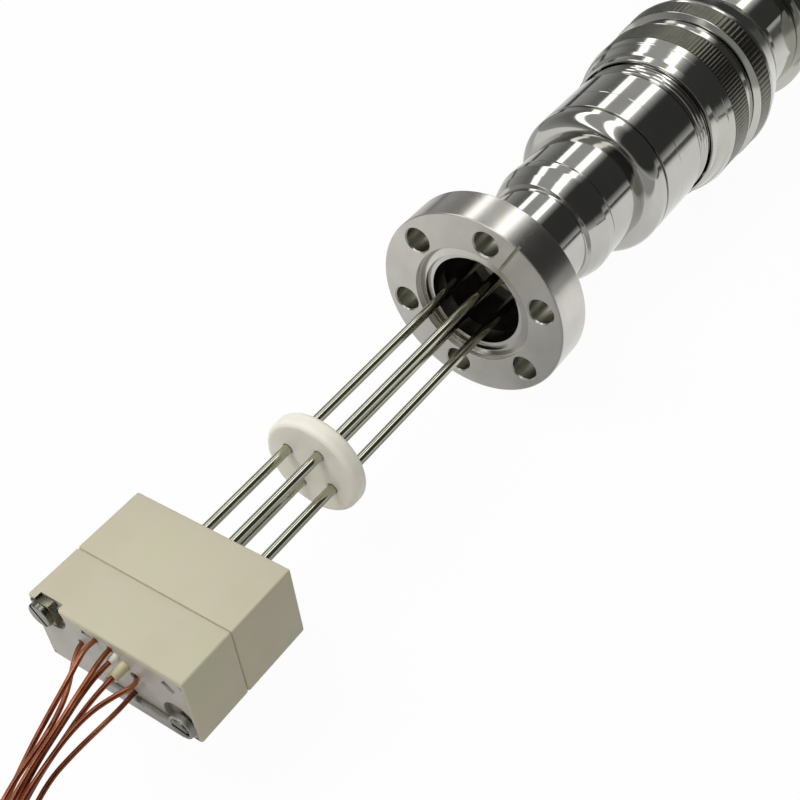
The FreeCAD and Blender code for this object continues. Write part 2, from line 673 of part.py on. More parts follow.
def make_ferrules():
    for name, lead, kind in (("white_ferrule", "lead_4", "white"), ("beige_ferrule", "lead_5", "beige")):
        across, up = lead_exit(lead)
        body = turned(name, [
            (f"{BLOCK_FRONT} - {kind}_ferrule_len", "ferrule_bore_r"),
            (f"{BLOCK_FRONT} - {kind}_ferrule_len", f"{kind}_ferrule_r"),
            (PLATE_BACK, f"{kind}_ferrule_r"), (PLATE_BACK, "ferrule_bore_r")])
        bind(body, Placement__Base__y=across, Placement__Base__z=up)


def lead_path(points):
    """Straight runs joined by tangent arcs. Also returns the arcs' radii."""
    corners = [FreeCAD.Vector(*point) for point in points]
    edges = []
    radii = []
    start = corners[0]
    for before, corner, after in zip(corners, corners[1:], corners[2:]):
        into = corner - before
        out = after - corner
        half_turn = into.getAngle(out) / 2
        reach = 0.45 * min(into.Length, out.Length)
        radii.append(reach / math.tan(half_turn))
        into.normalize()
        out.normalize()
        arc_start = corner - into * reach
        arc_end = corner + out * reach
        centre_side = out - into
        centre_side.normalize()
        middle = corner + centre_side * radii[-1] * (1 / math.cos(half_turn) - 1)
        edges.append(Part.LineSegment(start, arc_start).toShape())
        edges.append(Part.Arc(arc_start, middle, arc_end).toShape())
        start = arc_end
    edges.append(Part.LineSegment(start, corners[-1]).toShape())
    return Part.Wire(edges), radii


def make_leads():
    radius = value("wire_r")
    for name, points in LEADS.items():
        path, radii = lead_path(points)
        first = FreeCAD.Vector(*points[0])
        direction = FreeCAD.Vector(*points[1]) - first
        end_face = Part.Wire([Part.Circle(first, direction, radius).toShape()])
        tube = path.makePipeShell([end_face], True, True)
        tube_volume = math.pi * radius * radius * path.Length
        print(name, "length", round(path.Length, 1), "smallest radius", round(min(radii), 2),
              "volume ratio", round(tube.Volume / tube_volume, 4))
        lead = doc.addObject("Part::Feature", name)
        lead.Shape = tube
        lead.Label = name
        nodes.append(lead)


def make_pin_insert():
    body = turned("pin_insert", [
        (SPIGOT_END, "0"), (SPIGOT_END, f"{SHELL_BORE_R} - insert_slip"),
        (INSERT_FACE, f"{SHELL_BORE_R} - insert_slip"),
        (INSERT_FACE, "0")])
    drill_for_rods(body, "insert", SPIGOT_END, INSERT_FACE, "rod_r + rod_slip")


def make_plug():
    rear_bore = f"({PLUG_BODY_R} - plug_rear_wall)"
    ring("face_seal", f"({SHELL_END} + seal_gap)", SHOULDER, f"{SHELL_BORE_R} + seal_step", SHOULDER_R)
    turned("plug_shell", [
        (NOSE_TIP, PLUG_BORE_R), (NOSE_TIP, NOSE_R), (SHOULDER, NOSE_R), (SHOULDER, SHOULDER_R),
        (SHOULDER_END, SHOULDER_R), (SHOULDER_END, PLUG_BODY_R), (RETAINER, PLUG_BODY_R),
        (RETAINER, RETAINER_GROOVE_R), (RETAINER_END, RETAINER_GROOVE_R), (RETAINER_END, PLUG_BODY_R),
        (PLUG_END, PLUG_BODY_R), (PLUG_END, rear_bore), (PLUG_STEP, rear_bore), (PLUG_STEP, PLUG_BORE_R)])
    front = f"({NOSE_TIP} + plug_insert_sink)"
    insert = turned("plug_insert", [
        (front, "0"), (front, f"{PLUG_BORE_R} - insert_slip"),
        (PLUG_STEP, f"{PLUG_BORE_R} - insert_slip"), (PLUG_STEP, "0")])
    drill_for_rods(insert, "plug_insert", front, PLUG_STEP, "contact_r")
    for index in range(4):
        across, up = rod_place(index)
        start = f"({NOSE_TIP} + contact_start)"
        end = f"({PLUG_STEP} + contact_tail)"
        body = turned(f"socket_contact_{index + 1}", [
            (start, "rod_r + contact_slip"), (start, "contact_r"), (end, "contact_r"), (end, "solder_cup_r"),
            (f"{end} - solder_cup_deep", "solder_cup_r"), (f"{end} - solder_cup_deep", "0"),
            (f"{PIN_TIP} + contact_tip_gap", "0"), (f"{PIN_TIP} + contact_tip_gap", "rod_r + contact_slip")])
        bind(body, Placement__Base__y=across, Placement__Base__z=up)
    ring("retaining_ring", RETAINER, RETAINER_END, RETAINER_GROOVE_R, RETAINER_R)


def make_coupling_nut():
    wall = f"({SHOULDER_END} + nut_play)"
    mouth = f"({NUT_FRONT} + nut_mouth_deep)"
    turned("coupling_nut", [
        (NUT_FRONT, "shell_r + nut_slip"), (NUT_FRONT, "shell_r + nut_rim_wall"),
        (NUT_RIM_END, "shell_r + nut_rim_wall"), (NUT_BEVEL_END, "shell_r + nut_bevel_rise"),
        (NUT_STEP_END, "shell_r + nut_step_rise"), (NUT_STEP_END, "shell_r + nut_knurl_rise"),
        (NUT_KNURL_END, "shell_r + nut_knurl_rise"), (NUT_TAIL, NUT_TAIL_R), (NUT_END, NUT_TAIL_R),
        (NUT_END, f"{PLUG_BODY_R} + nut_slip"), (wall, f"{PLUG_BODY_R} + nut_slip"),
        (wall, f"{THREAD_R} + nut_slip"), (mouth, f"{THREAD_R} + nut_slip"), (mouth, "shell_r + nut_slip")])


def make_backshell():
    seat = f"({BARREL_END} - gland_seat_deep)"
    pocket_end = f"({RETAINER_END} + backshell_gap)"
    body = turned("backshell", [
        (BACKSHELL, f"{RETAINER_R} + backshell_gap"), (BACKSHELL, NUT_TAIL_R),
        (LIP_END, "shell_r + backshell_lip_rise"), (LIP_END, "shell_r + backshell_knurl_rise"),
        (KNURL_END, "shell_r + backshell_knurl_rise"), (RING_END, "shell_r + backshell_ring_rise"),
        (SLOPE_END, "shell_r + backshell_slope_rise"), (WAIST_END, "shell_r + backshell_waist_rise"),
        (BARREL, BARREL_R), (BARREL_END, BARREL_R), (BARREL_END, GLAND_SPIGOT_R), (SPIGOT_TIP, GLAND_SPIGOT_R),
        (SPIGOT_TIP, GLAND_BORE_R), (seat, GLAND_BORE_R), (seat, f"{GLAND_BORE_R} - gland_seat_step"),
        (PLUG_END, f"{GLAND_BORE_R} - gland_seat_step"), (PLUG_END, PLUG_BODY_R), (pocket_end, PLUG_BODY_R),
        (pocket_end, f"{RETAINER_R} + backshell_gap")])
    flat = body.newObject("PartDesign::SubtractiveBox", "barrel_flat")
    flat.Placement = FreeCAD.Placement(FreeCAD.Vector(0, 0, 0), FreeCAD.Rotation(FreeCAD.Vector(1, 0, 0), 0))
    bind(flat, Length="barrel_len - 2 * barrel_flat_margin", Width=BARREL_R, Height=f"2 * {BARREL_R}")
    bind(flat, Placement__Rotation__Angle="barrel_flat_angle * 1 deg")
    reach = f"({BARREL_R} - barrel_flat_cut)"
    turn = "(barrel_flat_angle * 1 deg)"
    bind(flat, Placement__Base__x=f"{BARREL} + barrel_flat_margin",
         Placement__Base__y=f"{reach} * cos({turn}) + {BARREL_R} * sin({turn})",
         Placement__Base__z=f"{reach} * sin({turn}) - {BARREL_R} * cos({turn})")


def make_gland():
    seat = f"({BARREL_END} - gland_seat_deep)"
    ring("gland_seal", seat, SPIGOT_TIP, "gland_seal_bore_r", f"{GLAND_BORE_R} - insert_slip")
    ring("gland_washer", SPIGOT_TIP, GLAND_WALL, "gland_washer_bore_r", GLAND_SPIGOT_R)
    turned("gland_nut", [
        (GLAND_FRONT, f"{GLAND_SPIGOT_R} + nut_slip"), (GLAND_FRONT, f"{GLAND_R} - gland_round / 2"),
        (f"{GLAND_FRONT} + gland_round / 2", GLAND_R), (f"{GLAND_END} - gland_round", GLAND_R),
        (GLAND_END, f"{GLAND_R} - gland_round"), (GLAND_END, "gland_cable_r"), (GLAND_WALL, "gland_cable_r"),
        (GLAND_WALL, f"{GLAND_SPIGOT_R} + nut_slip")], arcs={1: "gland_round / 2", 3: "gland_round"})


def main():
    make_flange()
    make_weld_adapter()
    make_receptacle_shell()
    make_header()
    make_conductors()
    make_spacer_disc()
    make_rear_housing()
    make_front_housing()
    make_end_plate()
    make_clamp_bar()
    make_housing_screws()
    make_terminals()
    make_ferrules()
    make_leads()
    make_pin_insert()
    make_plug()
    make_coupling_nut()
    make_backshell()
    make_gland()
    doc.recompute()
    for thing in doc.Objects:
        if "Invalid" in thing.State or "Error" in thing.State:
            raise RuntimeError(f"{thing.Name} failed: {thing.State}")
    for node in nodes:
        if node.Shape.isNull() or not node.Shape.isValid() or not node.Shape.Solids:
            raise RuntimeError(f"{node.Label} has no valid solid")
    os.makedirs("parts", exist_ok=True)
    for node in nodes:
        node.Shape.exportStep(f"parts/{node.Label}.step")
    print(len(nodes), "nodes written")


main()
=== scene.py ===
"""A vacuum feedthrough: knife-edge flange, polished receptacle with its mated plug, four conductors, a
ceramic spacer disc and a wired plastic block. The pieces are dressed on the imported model, in its frame."""
import bmesh
import bpy
import math
from mathutils import Matrix, Vector


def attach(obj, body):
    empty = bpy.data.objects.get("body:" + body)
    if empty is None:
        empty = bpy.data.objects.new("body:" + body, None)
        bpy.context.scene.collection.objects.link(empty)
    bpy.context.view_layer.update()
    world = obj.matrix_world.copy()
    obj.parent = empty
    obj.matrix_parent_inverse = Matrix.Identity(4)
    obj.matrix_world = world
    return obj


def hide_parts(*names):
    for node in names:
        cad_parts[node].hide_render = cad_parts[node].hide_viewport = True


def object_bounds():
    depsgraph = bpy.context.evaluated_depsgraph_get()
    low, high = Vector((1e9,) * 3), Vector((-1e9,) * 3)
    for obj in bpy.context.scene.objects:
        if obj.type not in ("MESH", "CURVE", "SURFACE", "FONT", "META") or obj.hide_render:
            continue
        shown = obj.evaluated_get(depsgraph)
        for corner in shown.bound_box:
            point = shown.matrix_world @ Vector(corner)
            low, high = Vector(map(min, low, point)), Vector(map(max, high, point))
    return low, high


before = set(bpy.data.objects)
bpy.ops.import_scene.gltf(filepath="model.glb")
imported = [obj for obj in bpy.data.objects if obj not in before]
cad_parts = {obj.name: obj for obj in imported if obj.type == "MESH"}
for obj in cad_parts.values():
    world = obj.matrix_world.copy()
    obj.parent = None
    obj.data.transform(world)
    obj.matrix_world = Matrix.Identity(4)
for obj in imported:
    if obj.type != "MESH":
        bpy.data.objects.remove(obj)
cad_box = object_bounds()
scene = bpy.context.scene

# Sizes are in millimetres unless a line says otherwise, and this turns them to metres
MM = 0.001
# How many sides a large turned form, a small one and a thin one have
SIDES = 192
SMALL_SIDES = 64
THIN_SIDES = 40
# A rounded corner has a point each nine degrees, and an edge sharper than this many degrees stays crisp
ROUNDING_STEP = math.radians(9)
CRISP_DEGREES = 32
# The flange: its six holes' circle and radius, and the ways that its two leak-check grooves look
BOLT_CIRCLE_R = 13.5
BOLT_HOLE_R = 2.2
GROOVE_WAYS = (123, 303)
# The block's stations along X, where the cutters for its holes start, its half width and its half height
BLOCK_CLEAR = -84.0
BLOCK_FRONT = -82.3
PLATE_BACK = -80.8
BLOCK_SEAM = -73.3
BLOCK_REAR = -61.9
BLOCK_HALF_W = 13.4
BLOCK_HALF_H = 6.2
# The rods: their circle, their radius, the holes that they pass through and where their block ends lie
ROD_CIRCLE_R = 4.28
ROD_R = 0.78
ROD_HOLE_R = 0.8
ROD_BACK = -78.0
# The block's screws: shank, hole, and the scoop that clears the upper one's head
SHANK_R = 1.25
SHANK_HOLE_R = 1.3
SCOOP_R = 2.7
SCOOP_CENTRE = (9.9, 4.4)
# The copper wire of the leads
WIRE_R = 0.35
# The knurled bands of the nut and the backshell, from station to station
NUT_KNURL = (64.65, 70.35)
BACKSHELL_KNURL = (75.05, 79.45)


def put_camera():
    """The camera stands in front of the leads' end, to the right and above."""
    right = Vector((0.57364341, -0.81360163, -0.09479252))
    up = Vector((0.59177488, 0.33163832, 0.73472343))
    back = Vector((-0.56633534, -0.47756509, 0.67171115))
    lens = bpy.data.cameras.new("studio_camera")
    lens.lens = 58.1
    lens.sensor_width = 36.0
    lens.clip_start = 0.005
    camera = bpy.data.objects.new("studio_camera", lens)
    scene.collection.objects.link(camera)
    turn = Matrix((right, up, back)).transposed().to_4x4()
    camera.matrix_world = Matrix.Translation((-0.133358, -0.095077, 0.129570)) @ turn
    scene.camera = camera


put_camera()


def to_linear(colour):
    """An sRGB hex colour as linear RGBA."""
    channels = [int(colour[place:place + 2], 16) / 255 for place in (1, 3, 5)]
    return [c / 12.92 if c <= 0.04045 else ((c + 0.055) / 1.055) ** 2.4 for c in channels] + [1.0]


def add(tree, kind, sockets=None, stops=None, **settings):
    """Add one node and give back its outputs. Each socket takes a value or a link, a colour ramp takes stops
    of a place and a hex colour or a grey, and the rest are the node's own settings."""
    node = tree.nodes.new(kind)
    for name, setting in settings.items():
        setattr(node, name, setting)
    for socket, source in (sockets or {}).items():
        if isinstance(source, bpy.types.NodeSocket):
            tree.links.new(source, node.inputs[socket])
        else:
            node.inputs[socket].default_value = source
    if stops:
        elements = node.color_ramp.elements
        while len(elements) < len(stops):
            elements.new(1.0)
        for element, (place, colour) in zip(elements, stops):
            element.position = place
            element.color = to_linear(colour) if isinstance(colour, str) else [colour] * 3 + [1.0]
    return node.outputs


def per_metre(size_mm):
    """The noise scale whose grain is this many millimetres across."""
    return 1000.0 / size_mm


def wave_scale(spacing_mm):
    """The wave scale whose lines are this many millimetres apart."""
    return math.pi / 10 / (spacing_mm * MM)


def new_material(name, **values):
    """An empty material: its tree and its shader, with the shader's constants set on its sockets."""
    material = bpy.data.materials.new(name)
    material.use_nodes = True
    shader = material.node_tree.nodes["Principled BSDF"]
    for socket, number in values.items():
        shader.inputs[socket.replace("_", " ")].default_value = number
    return material, material.node_tree, shader


def connect(tree, shader, sources):
    """Link each source to the shader's socket of that name."""
    for socket, source in sources.items():
        tree.links.new(source, shader.inputs[socket])


def skin(name, shades, cloud, grain, rough, bump, **values):
    """A material with one even skin: its shades drift in soft clouds, and a fine grain roughens and raises
    it. Cloud and grain are a size in millimetres and a detail, rough is a low and a high end, and bump is a
    depth in millimetres and a strength. Real grain is finer, and this is as coarse as it needs to show."""
    material, tree, shader = new_material(name, **values)
    place = add(tree, "ShaderNodeTexCoord")["Object"]
    clouds = add(tree, "ShaderNodeTexNoise", {
        "Vector": place, "Scale": per_metre(cloud[0]), "Detail": cloud[1]})["Fac"]
    grains = add(tree, "ShaderNodeTexNoise", {
        "Vector": place, "Scale": per_metre(grain[0]), "Detail": grain[1]})["Fac"]
    connect(tree, shader, {
        "Base Color": add(tree, "ShaderNodeValToRGB", {"Fac": clouds}, shades)["Color"],
        "Roughness": add(tree, "ShaderNodeMapRange", {
            "Value": grains, "To Min": rough[0], "To Max": rough[1]})["Result"],
        "Normal": add(tree, "ShaderNodeBump", {
            "Height": grains, "Distance": bump[0] * MM, "Strength": bump[1]})["Normal"]})
    return material


def turned_flange_steel():
    """Austenitic stainless steel, faced on a lathe: fine rings round the axis pull the light into soft
    sectors on the face, and the rim is finished finer than the face."""
    material, tree, shader = new_material("turned_flange_steel", Metallic=1.0, Anisotropic=0.55)
    place = add(tree, "ShaderNodeTexCoord")["Object"]
    along = add(tree, "ShaderNodeSeparateXYZ", {"Vector": place})["X"]
    # Tool marks are about 0.1 mm apart on the real face, drawn here at 0.22 mm so that they show
    rings = add(tree, "ShaderNodeTexWave", {
        "Vector": place, "Scale": wave_scale(0.22), "Distortion": 0.4, "Detail": 1.0},
        wave_type="RINGS", rings_direction="X")["Fac"]
    clouds = add(tree, "ShaderNodeTexNoise", {"Vector": place, "Scale": per_metre(6.0), "Detail": 3.0})["Fac"]
    grains = add(tree, "ShaderNodeTexNoise", {"Vector": place, "Scale": per_metre(0.5), "Detail": 3.0})["Fac"]
    face_to_rim = add(tree, "ShaderNodeMapRange", {
        "Value": along, "From Max": 0.4 * MM, "To Min": 0.36, "To Max": 0.2})["Result"]
    uneven = add(tree, "ShaderNodeMapRange", {"Value": grains, "To Min": -0.03, "To Max": 0.03})["Result"]
    connect(tree, shader, {
        "Base Color": add(tree, "ShaderNodeValToRGB", {"Fac": clouds},
                          [(0.3, "#C0BDB6"), (0.7, "#CDCAC4")])["Color"],
        "Roughness": add(tree, "ShaderNodeMath", {0: face_to_rim, 1: uneven}, operation="ADD")[0],
        "Tangent": add(tree, "ShaderNodeTangent", direction_type="RADIAL", axis="X")["Tangent"],
        "Normal": add(tree, "ShaderNodeBump", {
            "Height": rings, "Distance": 0.002 * MM, "Strength": 0.35})["Normal"]})
    return material


def polished_steel(name, low, high, rough=0.06):
    """Austenitic stainless steel, turned and polished: a mirror that stays a little streaky round the axis,
    where the polishing mop ran."""
    material, tree, shader = new_material(name, Metallic=1.0)
    place = add(tree, "ShaderNodeTexCoord")["Object"]
    parts = add(tree, "ShaderNodeSeparateXYZ", {"Vector": place})
    way = add(tree, "ShaderNodeMath", {0: parts["Z"], 1: parts["Y"]}, operation="ARCTAN2")[0]
    # The mop's streaks lie round the axis. They are hair-fine on the real steel, and drawn a third of a
    # millimetre wide so that they show
    way_round = add(tree, "ShaderNodeMath", {0: way, 1: 1.5 * MM}, operation="MULTIPLY")[0]
    laid = add(tree, "ShaderNodeCombineXYZ", {"X": parts["X"], "Y": way_round})["Vector"]
    streaks = add(tree, "ShaderNodeTexNoise", {
        "Vector": laid, "Scale": per_metre(0.35), "Detail": 4.0, "Roughness": 0.6})["Fac"]
    clouds = add(tree, "ShaderNodeTexNoise", {"Vector": place, "Scale": per_metre(7.0), "Detail": 2.0})["Fac"]
    waves = add(tree, "ShaderNodeTexNoise", {"Vector": place, "Scale": per_metre(9.0), "Detail": 1.0})["Fac"]
    swell = add(tree, "ShaderNodeBump", {"Height": waves, "Distance": 0.02 * MM, "Strength": 0.25})["Normal"]
    connect(tree, shader, {
        "Base Color": add(tree, "ShaderNodeValToRGB", {"Fac": clouds}, [(0.3, low), (0.7, high)])["Color"],
        "Roughness": add(tree, "ShaderNodeMapRange", {
            "Value": streaks, "From Min": 0.3, "From Max": 0.75,
            "To Min": rough, "To Max": rough + 0.06})["Result"],
        "Normal": add(tree, "ShaderNodeBump", {
            "Height": streaks, "Normal": swell, "Distance": 0.002 * MM, "Strength": 0.12})["Normal"]})
    return material


def painted_shade_bore():
    """Stainless steel of the bores, left dull, its dark colour painted shade so that the bores read as deep.
    Its scale is finer than the 0.2 mm that it is drawn at."""
    material, tree, shader = new_material("bore_painted_shade", Metallic=1.0)
    place = add(tree, "ShaderNodeTexCoord")["Object"]
    clouds = add(tree, "ShaderNodeTexNoise", {"Vector": place, "Scale": per_metre(2.5), "Detail": 3.0})["Fac"]
    grains = add(tree, "ShaderNodeTexNoise", {"Vector": place, "Scale": per_metre(0.2), "Detail": 3.0})["Fac"]
    connect(tree, shader, {
        "Base Color": add(tree, "ShaderNodeValToRGB", {"Fac": clouds},
                          [(0.3, "#393533"), (0.7, "#4A4542")])["Color"],
        "Roughness": add(tree, "ShaderNodeMapRange", {
            "Value": clouds, "To Min": 0.45, "To Max": 0.6})["Result"],
        "Normal": add(tree, "ShaderNodeBump", {
            "Height": grains, "Distance": 0.004 * MM, "Strength": 0.5})["Normal"]})
    return material


def drawn_rod_metal():
    """Nickel-plated alloy rod, drawn through a die: bright, with fine lines along its length. The die's lines
    are finer than a tenth of a millimetre, and are drawn at 0.22 mm so that they show."""
    material, tree, shader = new_material("drawn_conductor", Metallic=1.0)
    place = add(tree, "ShaderNodeTexCoord")["Object"]
    laid = add(tree, "ShaderNodeMapping", {"Vector": place, "Scale": (0.003, 1.0, 1.0)})[0]
    lines = add(tree, "ShaderNodeTexNoise", {"Vector": laid, "Scale": per_metre(0.22), "Detail": 1.5})["Fac"]
    clouds = add(tree, "ShaderNodeTexNoise", {"Vector": place, "Scale": per_metre(5.0), "Detail": 3.0})["Fac"]
    connect(tree, shader, {
        "Base Color": add(tree, "ShaderNodeValToRGB", {"Fac": clouds},
                          [(0.3, "#B2B2A0"), (0.7, "#C0C0B0")])["Color"],
        "Roughness": add(tree, "ShaderNodeMapRange", {
            "Value": lines, "To Min": 0.1, "To Max": 0.15})["Result"],
        "Normal": add(tree, "ShaderNodeBump", {
            "Height": lines, "Distance": 0.001 * MM, "Strength": 0.2})["Normal"]})
    return material


def moulded_peek(name, low, high, green):
    """Natural PEEK, machined and tumbled: an opaque putty colour that shifts faintly to green, with a dull
    even skin."""
    return skin(name, [(0.3, low), (0.55, high), (0.75, green)], cloud=(9.0, 2.0), grain=(0.18, 3.0),
                rough=(0.42, 0.55), bump=(0.005, 0.4), IOR=1.65)


def plain_metal(name, low, high, rough, grain_mm, deep_mm):
    """A plated or bare metal with a slightly uneven skin: rolled, turned or tarnished, by its two shades."""
    return skin(name, [(0.3, low), (0.7, high)], cloud=(grain_mm * 8, 3.0), grain=(grain_mm, 4.0),
                rough=(rough, rough + 0.14), bump=(deep_mm, 0.35), Metallic=1.0)


def dull_polymer(name, low, high, rough):
    """A dark moulded polymer with a fine even skin, as inserts and seals have."""
    return skin(name, [(0.3, low), (0.7, high)], cloud=(2.0, 3.0), grain=(0.15, 3.0),
                rough=(rough, rough + 0.15), bump=(0.008, 0.5), IOR=1.5)


FLANGE_STEEL = turned_flange_steel()
# Polished stainless steel of the tube and the shell: a near mirror, its reflections in sharp bands
TUBE_STEEL = polished_steel("polished_tube_steel", "#B4B3AD", "#BDBCB7")
# The plug's and the nut's polished stainless steel: a little warmer and softer, from handling
NUT_STEEL = polished_steel("polished_nut_steel", "#B8B8B0", "#C2C1BB", 0.08)
# Knurled stainless steel, left as rolled: duller than the polished bands beside it, and darker, a painted
# shade for the shade between its teeth
SHADED_KNURL = plain_metal("knurl_steel_painted_shade", "#57564B", "#666559", 0.24, 0.25, 0.003)
# The bores' steel: its dark base colour is painted shade for the shade inside them
SHADED_BORE = painted_shade_bore()
# Stainless steel as the drill left it in the holes and the leak grooves: rougher, it catches soft streaks,
# and its darker olive grey is painted shade for the shade inside them
SHADED_DRILL_STEEL = plain_metal("drilled_steel_painted_shade", "#A3A294", "#B1B0A3", 0.3, 0.4, 0.003)
ROD_METAL = drawn_rod_metal()
# Fired alumina, pressed and left unglazed: a warm white with a fine sandy grain, and soft edges where light
# sinks in
ALUMINA = skin("fired_alumina", [(0.25, "#F5F1E5"), (0.75, "#FBF9F0")], cloud=(3.0, 3.0), grain=(0.12, 2.0),
               rough=(0.4, 0.55), bump=(0.006, 0.35), IOR=1.6, Subsurface_Weight=0.15,
               Subsurface_Scale=0.0008, Subsurface_Radius=(1.0, 0.8, 0.6))
# The block's natural PEEK: putty, a shade greyer than the sleeve
BLOCK_PEEK = moulded_peek("putty_peek", "#C6BFA8", "#C9C3AD", "#C4C5A8")
# The lead's sleeve, cut from natural PEEK tube: a yellower putty that sets it off from the plate
SLEEVE_PEEK = moulded_peek("sleeve_peek", "#C9BE98", "#D6CCA8", "#CCC8A2")
# Grey moulded sheet, such as glass-filled polyimide: cool grey beside the block, flecked and a little glossy
PLATE_PLASTIC = skin("grey_end_plate", [(0.3, "#B1ADA6"), (0.7, "#BCB9B2")], cloud=(4.0, 3.0),
                     grain=(0.25, 4.0), rough=(0.3, 0.45), bump=(0.004, 0.35), IOR=1.6)
# Rolled stainless strip, left dull: a satin grey bar across the foot of the plate
BAR_METAL = plain_metal("rolled_bar_steel", "#B0AEA8", "#BFBDB8", 0.42, 0.3, 0.004)
# Steel screws and rings under a thin plating: a dark grey glint at their edges
SCREW_METAL = plain_metal("plated_screw_steel", "#79786A", "#8B8A7C", 0.2, 0.25, 0.003)
# Bare brass, tarnished: a dull yellow deep in the block
TERMINAL_BRASS = plain_metal("tarnished_terminal_brass", "#9C8448", "#B59C5C", 0.3, 0.25, 0.004)
# Nickel-iron alloy that is brazed to the ceramic: a matt mid-grey, deep in the tube
HEADER_METAL = plain_metal("header_alloy", "#7E7B75", "#8F8C85", 0.34, 0.3, 0.004)
# Gold-plated copper alloy of the sockets: a warm yellow, hidden in the plug
SOCKET_GOLD = plain_metal("contact_gold", "#C9993A", "#D8AC4E", 0.18, 0.2, 0.002)
# Round copper wire under clear baked enamel: orange-brown, glossy, darker where the enamel is thick
LEAD_COPPER = skin("enamelled_copper", [(0.3, "#84401F"), (0.5, "#B0623A"), (0.72, "#D08E68")],
                   cloud=(6.0, 2.0), grain=(2.5, 1.0), rough=(0.3, 0.38), bump=(0.001, 0.1), Metallic=1.0,
                   Coat_Weight=0.5, Coat_Roughness=0.12)
# Glass-filled black moulding of the connector's inserts: a satin black that hides in the shell
INSERT_PLASTIC = dull_polymer("black_insert_plastic", "#232221", "#2D2B2A", 0.42)
# Black fluoro-rubber of the seals: the dullest black in the plug
SEAL_RUBBER = dull_polymer("black_seal_rubber", "#191919", "#232323", 0.62)


# Each lead's way: the points that guide its bends, from its terminal to its bare end
LEADS = {
    "lead_1": [(-80.2, 1.7, 4.4), (-82.2, 1.7, 4.4), (-83.9, 1.3, 5.2), (-85.9, 0.2, 6.1),
               (-88.8, -0.8, 5.9), (-92.2, -1.0, 4.4), (-96.5, -0.7, 1.5), (-102.0, -0.2, -3.2),
               (-107.3, 0.6, -9.8), (-110.5, 1.1, -17.6)],
    "lead_2": [(-80.2, 5.2, 1.6), (-82.1, 5.2, 1.6), (-84.0, 4.4, 1.8), (-86.2, 2.8, 1.9),
               (-88.8, 0.9, 2.0), (-91.8, -0.8, 2.5), (-95.6, -2.4, 3.0), (-101.0, -3.5, 3.2),
               (-108.0, -4.4, 0.4), (-112.6, -4.9, -5.4)],
    "lead_3": [(-80.2, -0.8, 4.4), (-82.7, -0.8, 4.4), (-85.2, -1.8, 5.3), (-88.0, -3.0, 6.0),
               (-91.2, -3.8, 6.0), (-94.8, -4.3, 5.2), (-99.0, -4.8, 4.5), (-104.9, -5.5, 2.4),
               (-110.6, -6.0, -2.4), (-114.6, -6.2, -8.7)],
    "lead_4": [(-80.2, -1.6, 3.6), (-82.9, -1.6, 3.6), (-85.9, -1.75, 3.8), (-89.2, -2.5, 4.1),
               (-93.0, -3.0, 3.4), (-98.0, -3.3, 1.9), (-104.0, -3.6, -1.4), (-109.5, -3.9, -7.0),
               (-112.8, -4.1, -13.9)],
    "lead_5": [(-80.2, -2.8, 2.5), (-82.9, -2.8, 2.5), (-86.0, -2.7, 2.45), (-89.8, -2.7, 1.9),
               (-94.2, -3.5, 1.6), (-99.2, -4.6, 1.6), (-105.2, -5.4, -0.8), (-110.8, -5.8, -6.2),
               (-114.2, -6.0, -13.1)],
    "lead_6": [(-80.2, -3.9, 0.9), (-82.1, -3.9, 0.9), (-83.1, -5.3, 1.7), (-84.4, -5.6, 2.3),
               (-86.5, -4.9, 2.6), (-89.4, -4.3, 2.9), (-93.0, -4.5, 3.3), (-97.4, -5.4, 3.6),
               (-103.0, -6.6, 3.4), (-110.0, -7.8, -0.2), (-114.8, -8.4, -6.2)],
    "lead_7": [(-80.2, -2.8, -3.0), (-82.8, -2.8, -3.0), (-85.6, -3.7, -1.9), (-89.0, -4.1, -1.1),
               (-93.5, -4.5, -0.2), (-98.5, -5.1, 0.4), (-104.5, -5.9, -2.3), (-110.0, -6.3, -8.3),
               (-112.9, -6.5, -15.6)],
}


def make_lead(name, points):
    """One lead: a bare-ended wire that comes straight out of its terminal and droops under its own weight."""
    curve = bpy.data.curves.new(name + "_wire", "CURVE")
    curve.dimensions = "3D"
    spline = curve.splines.new("NURBS")
    spline.points.add(len(points) - 1)
    for point, place in zip(spline.points, points):
        point.co = (place[0] * MM, place[1] * MM, place[2] * MM, 1.0)
    spline.order_u = 3
    spline.use_endpoint_u = True
    curve.resolution_u = 20
    curve.bevel_depth = WIRE_R * MM
    curve.bevel_resolution = 5
    curve.use_fill_caps = True
    curve.materials.append(LEAD_COPPER)
    wire = bpy.data.objects.new(name + "_wire", curve)
    scene.collection.objects.link(wire)
    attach(wire, "feedthrough")
    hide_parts(name)


for lead_name, lead_points in LEADS.items():
    make_lead(lead_name, lead_points)


def soft_outline(corners, closed):
    """The outline's points in (station, radius). A corner's third number rounds it, and a short flat is kept
    each side of the rounding so that the faces beside it stay true."""
    longest_flat, least_flat = 0.05, 0.001
    points = []
    count = len(corners)
    for index, corner in enumerate(corners):
        here = Vector(corner[:2])
        rounding = corner[2] if len(corner) > 2 else 0
        at_end = not closed and index in (0, count - 1)
        if not rounding or at_end:
            points.append(here)
            continue
        before = Vector(corners[index - 1][:2]) - here
        after = Vector(corners[(index + 1) % count][:2]) - here
        room = min(before.length, after.length)
        before.normalize()
        after.normalize()
        half = before.angle(after) / 2
        reach = rounding / math.tan(half)
        centre = here + (before + after).normalized() * (rounding / math.sin(half))
        start = here + before * reach - centre
        sweep = start.angle_signed(here + after * reach - centre)
        steps = max(3, math.ceil(abs(sweep) / ROUNDING_STEP))
        flat = min(longest_flat, 0.2 * max(room - reach, 0))
        if flat > least_flat:
            points.append(here + before * (reach + flat))
        for step in range(steps + 1):
            points.append(centre + Matrix.Rotation(-sweep * step / steps, 2) @ start)
        if flat > least_flat:
            points.append(here + after * (reach + flat))
    return points


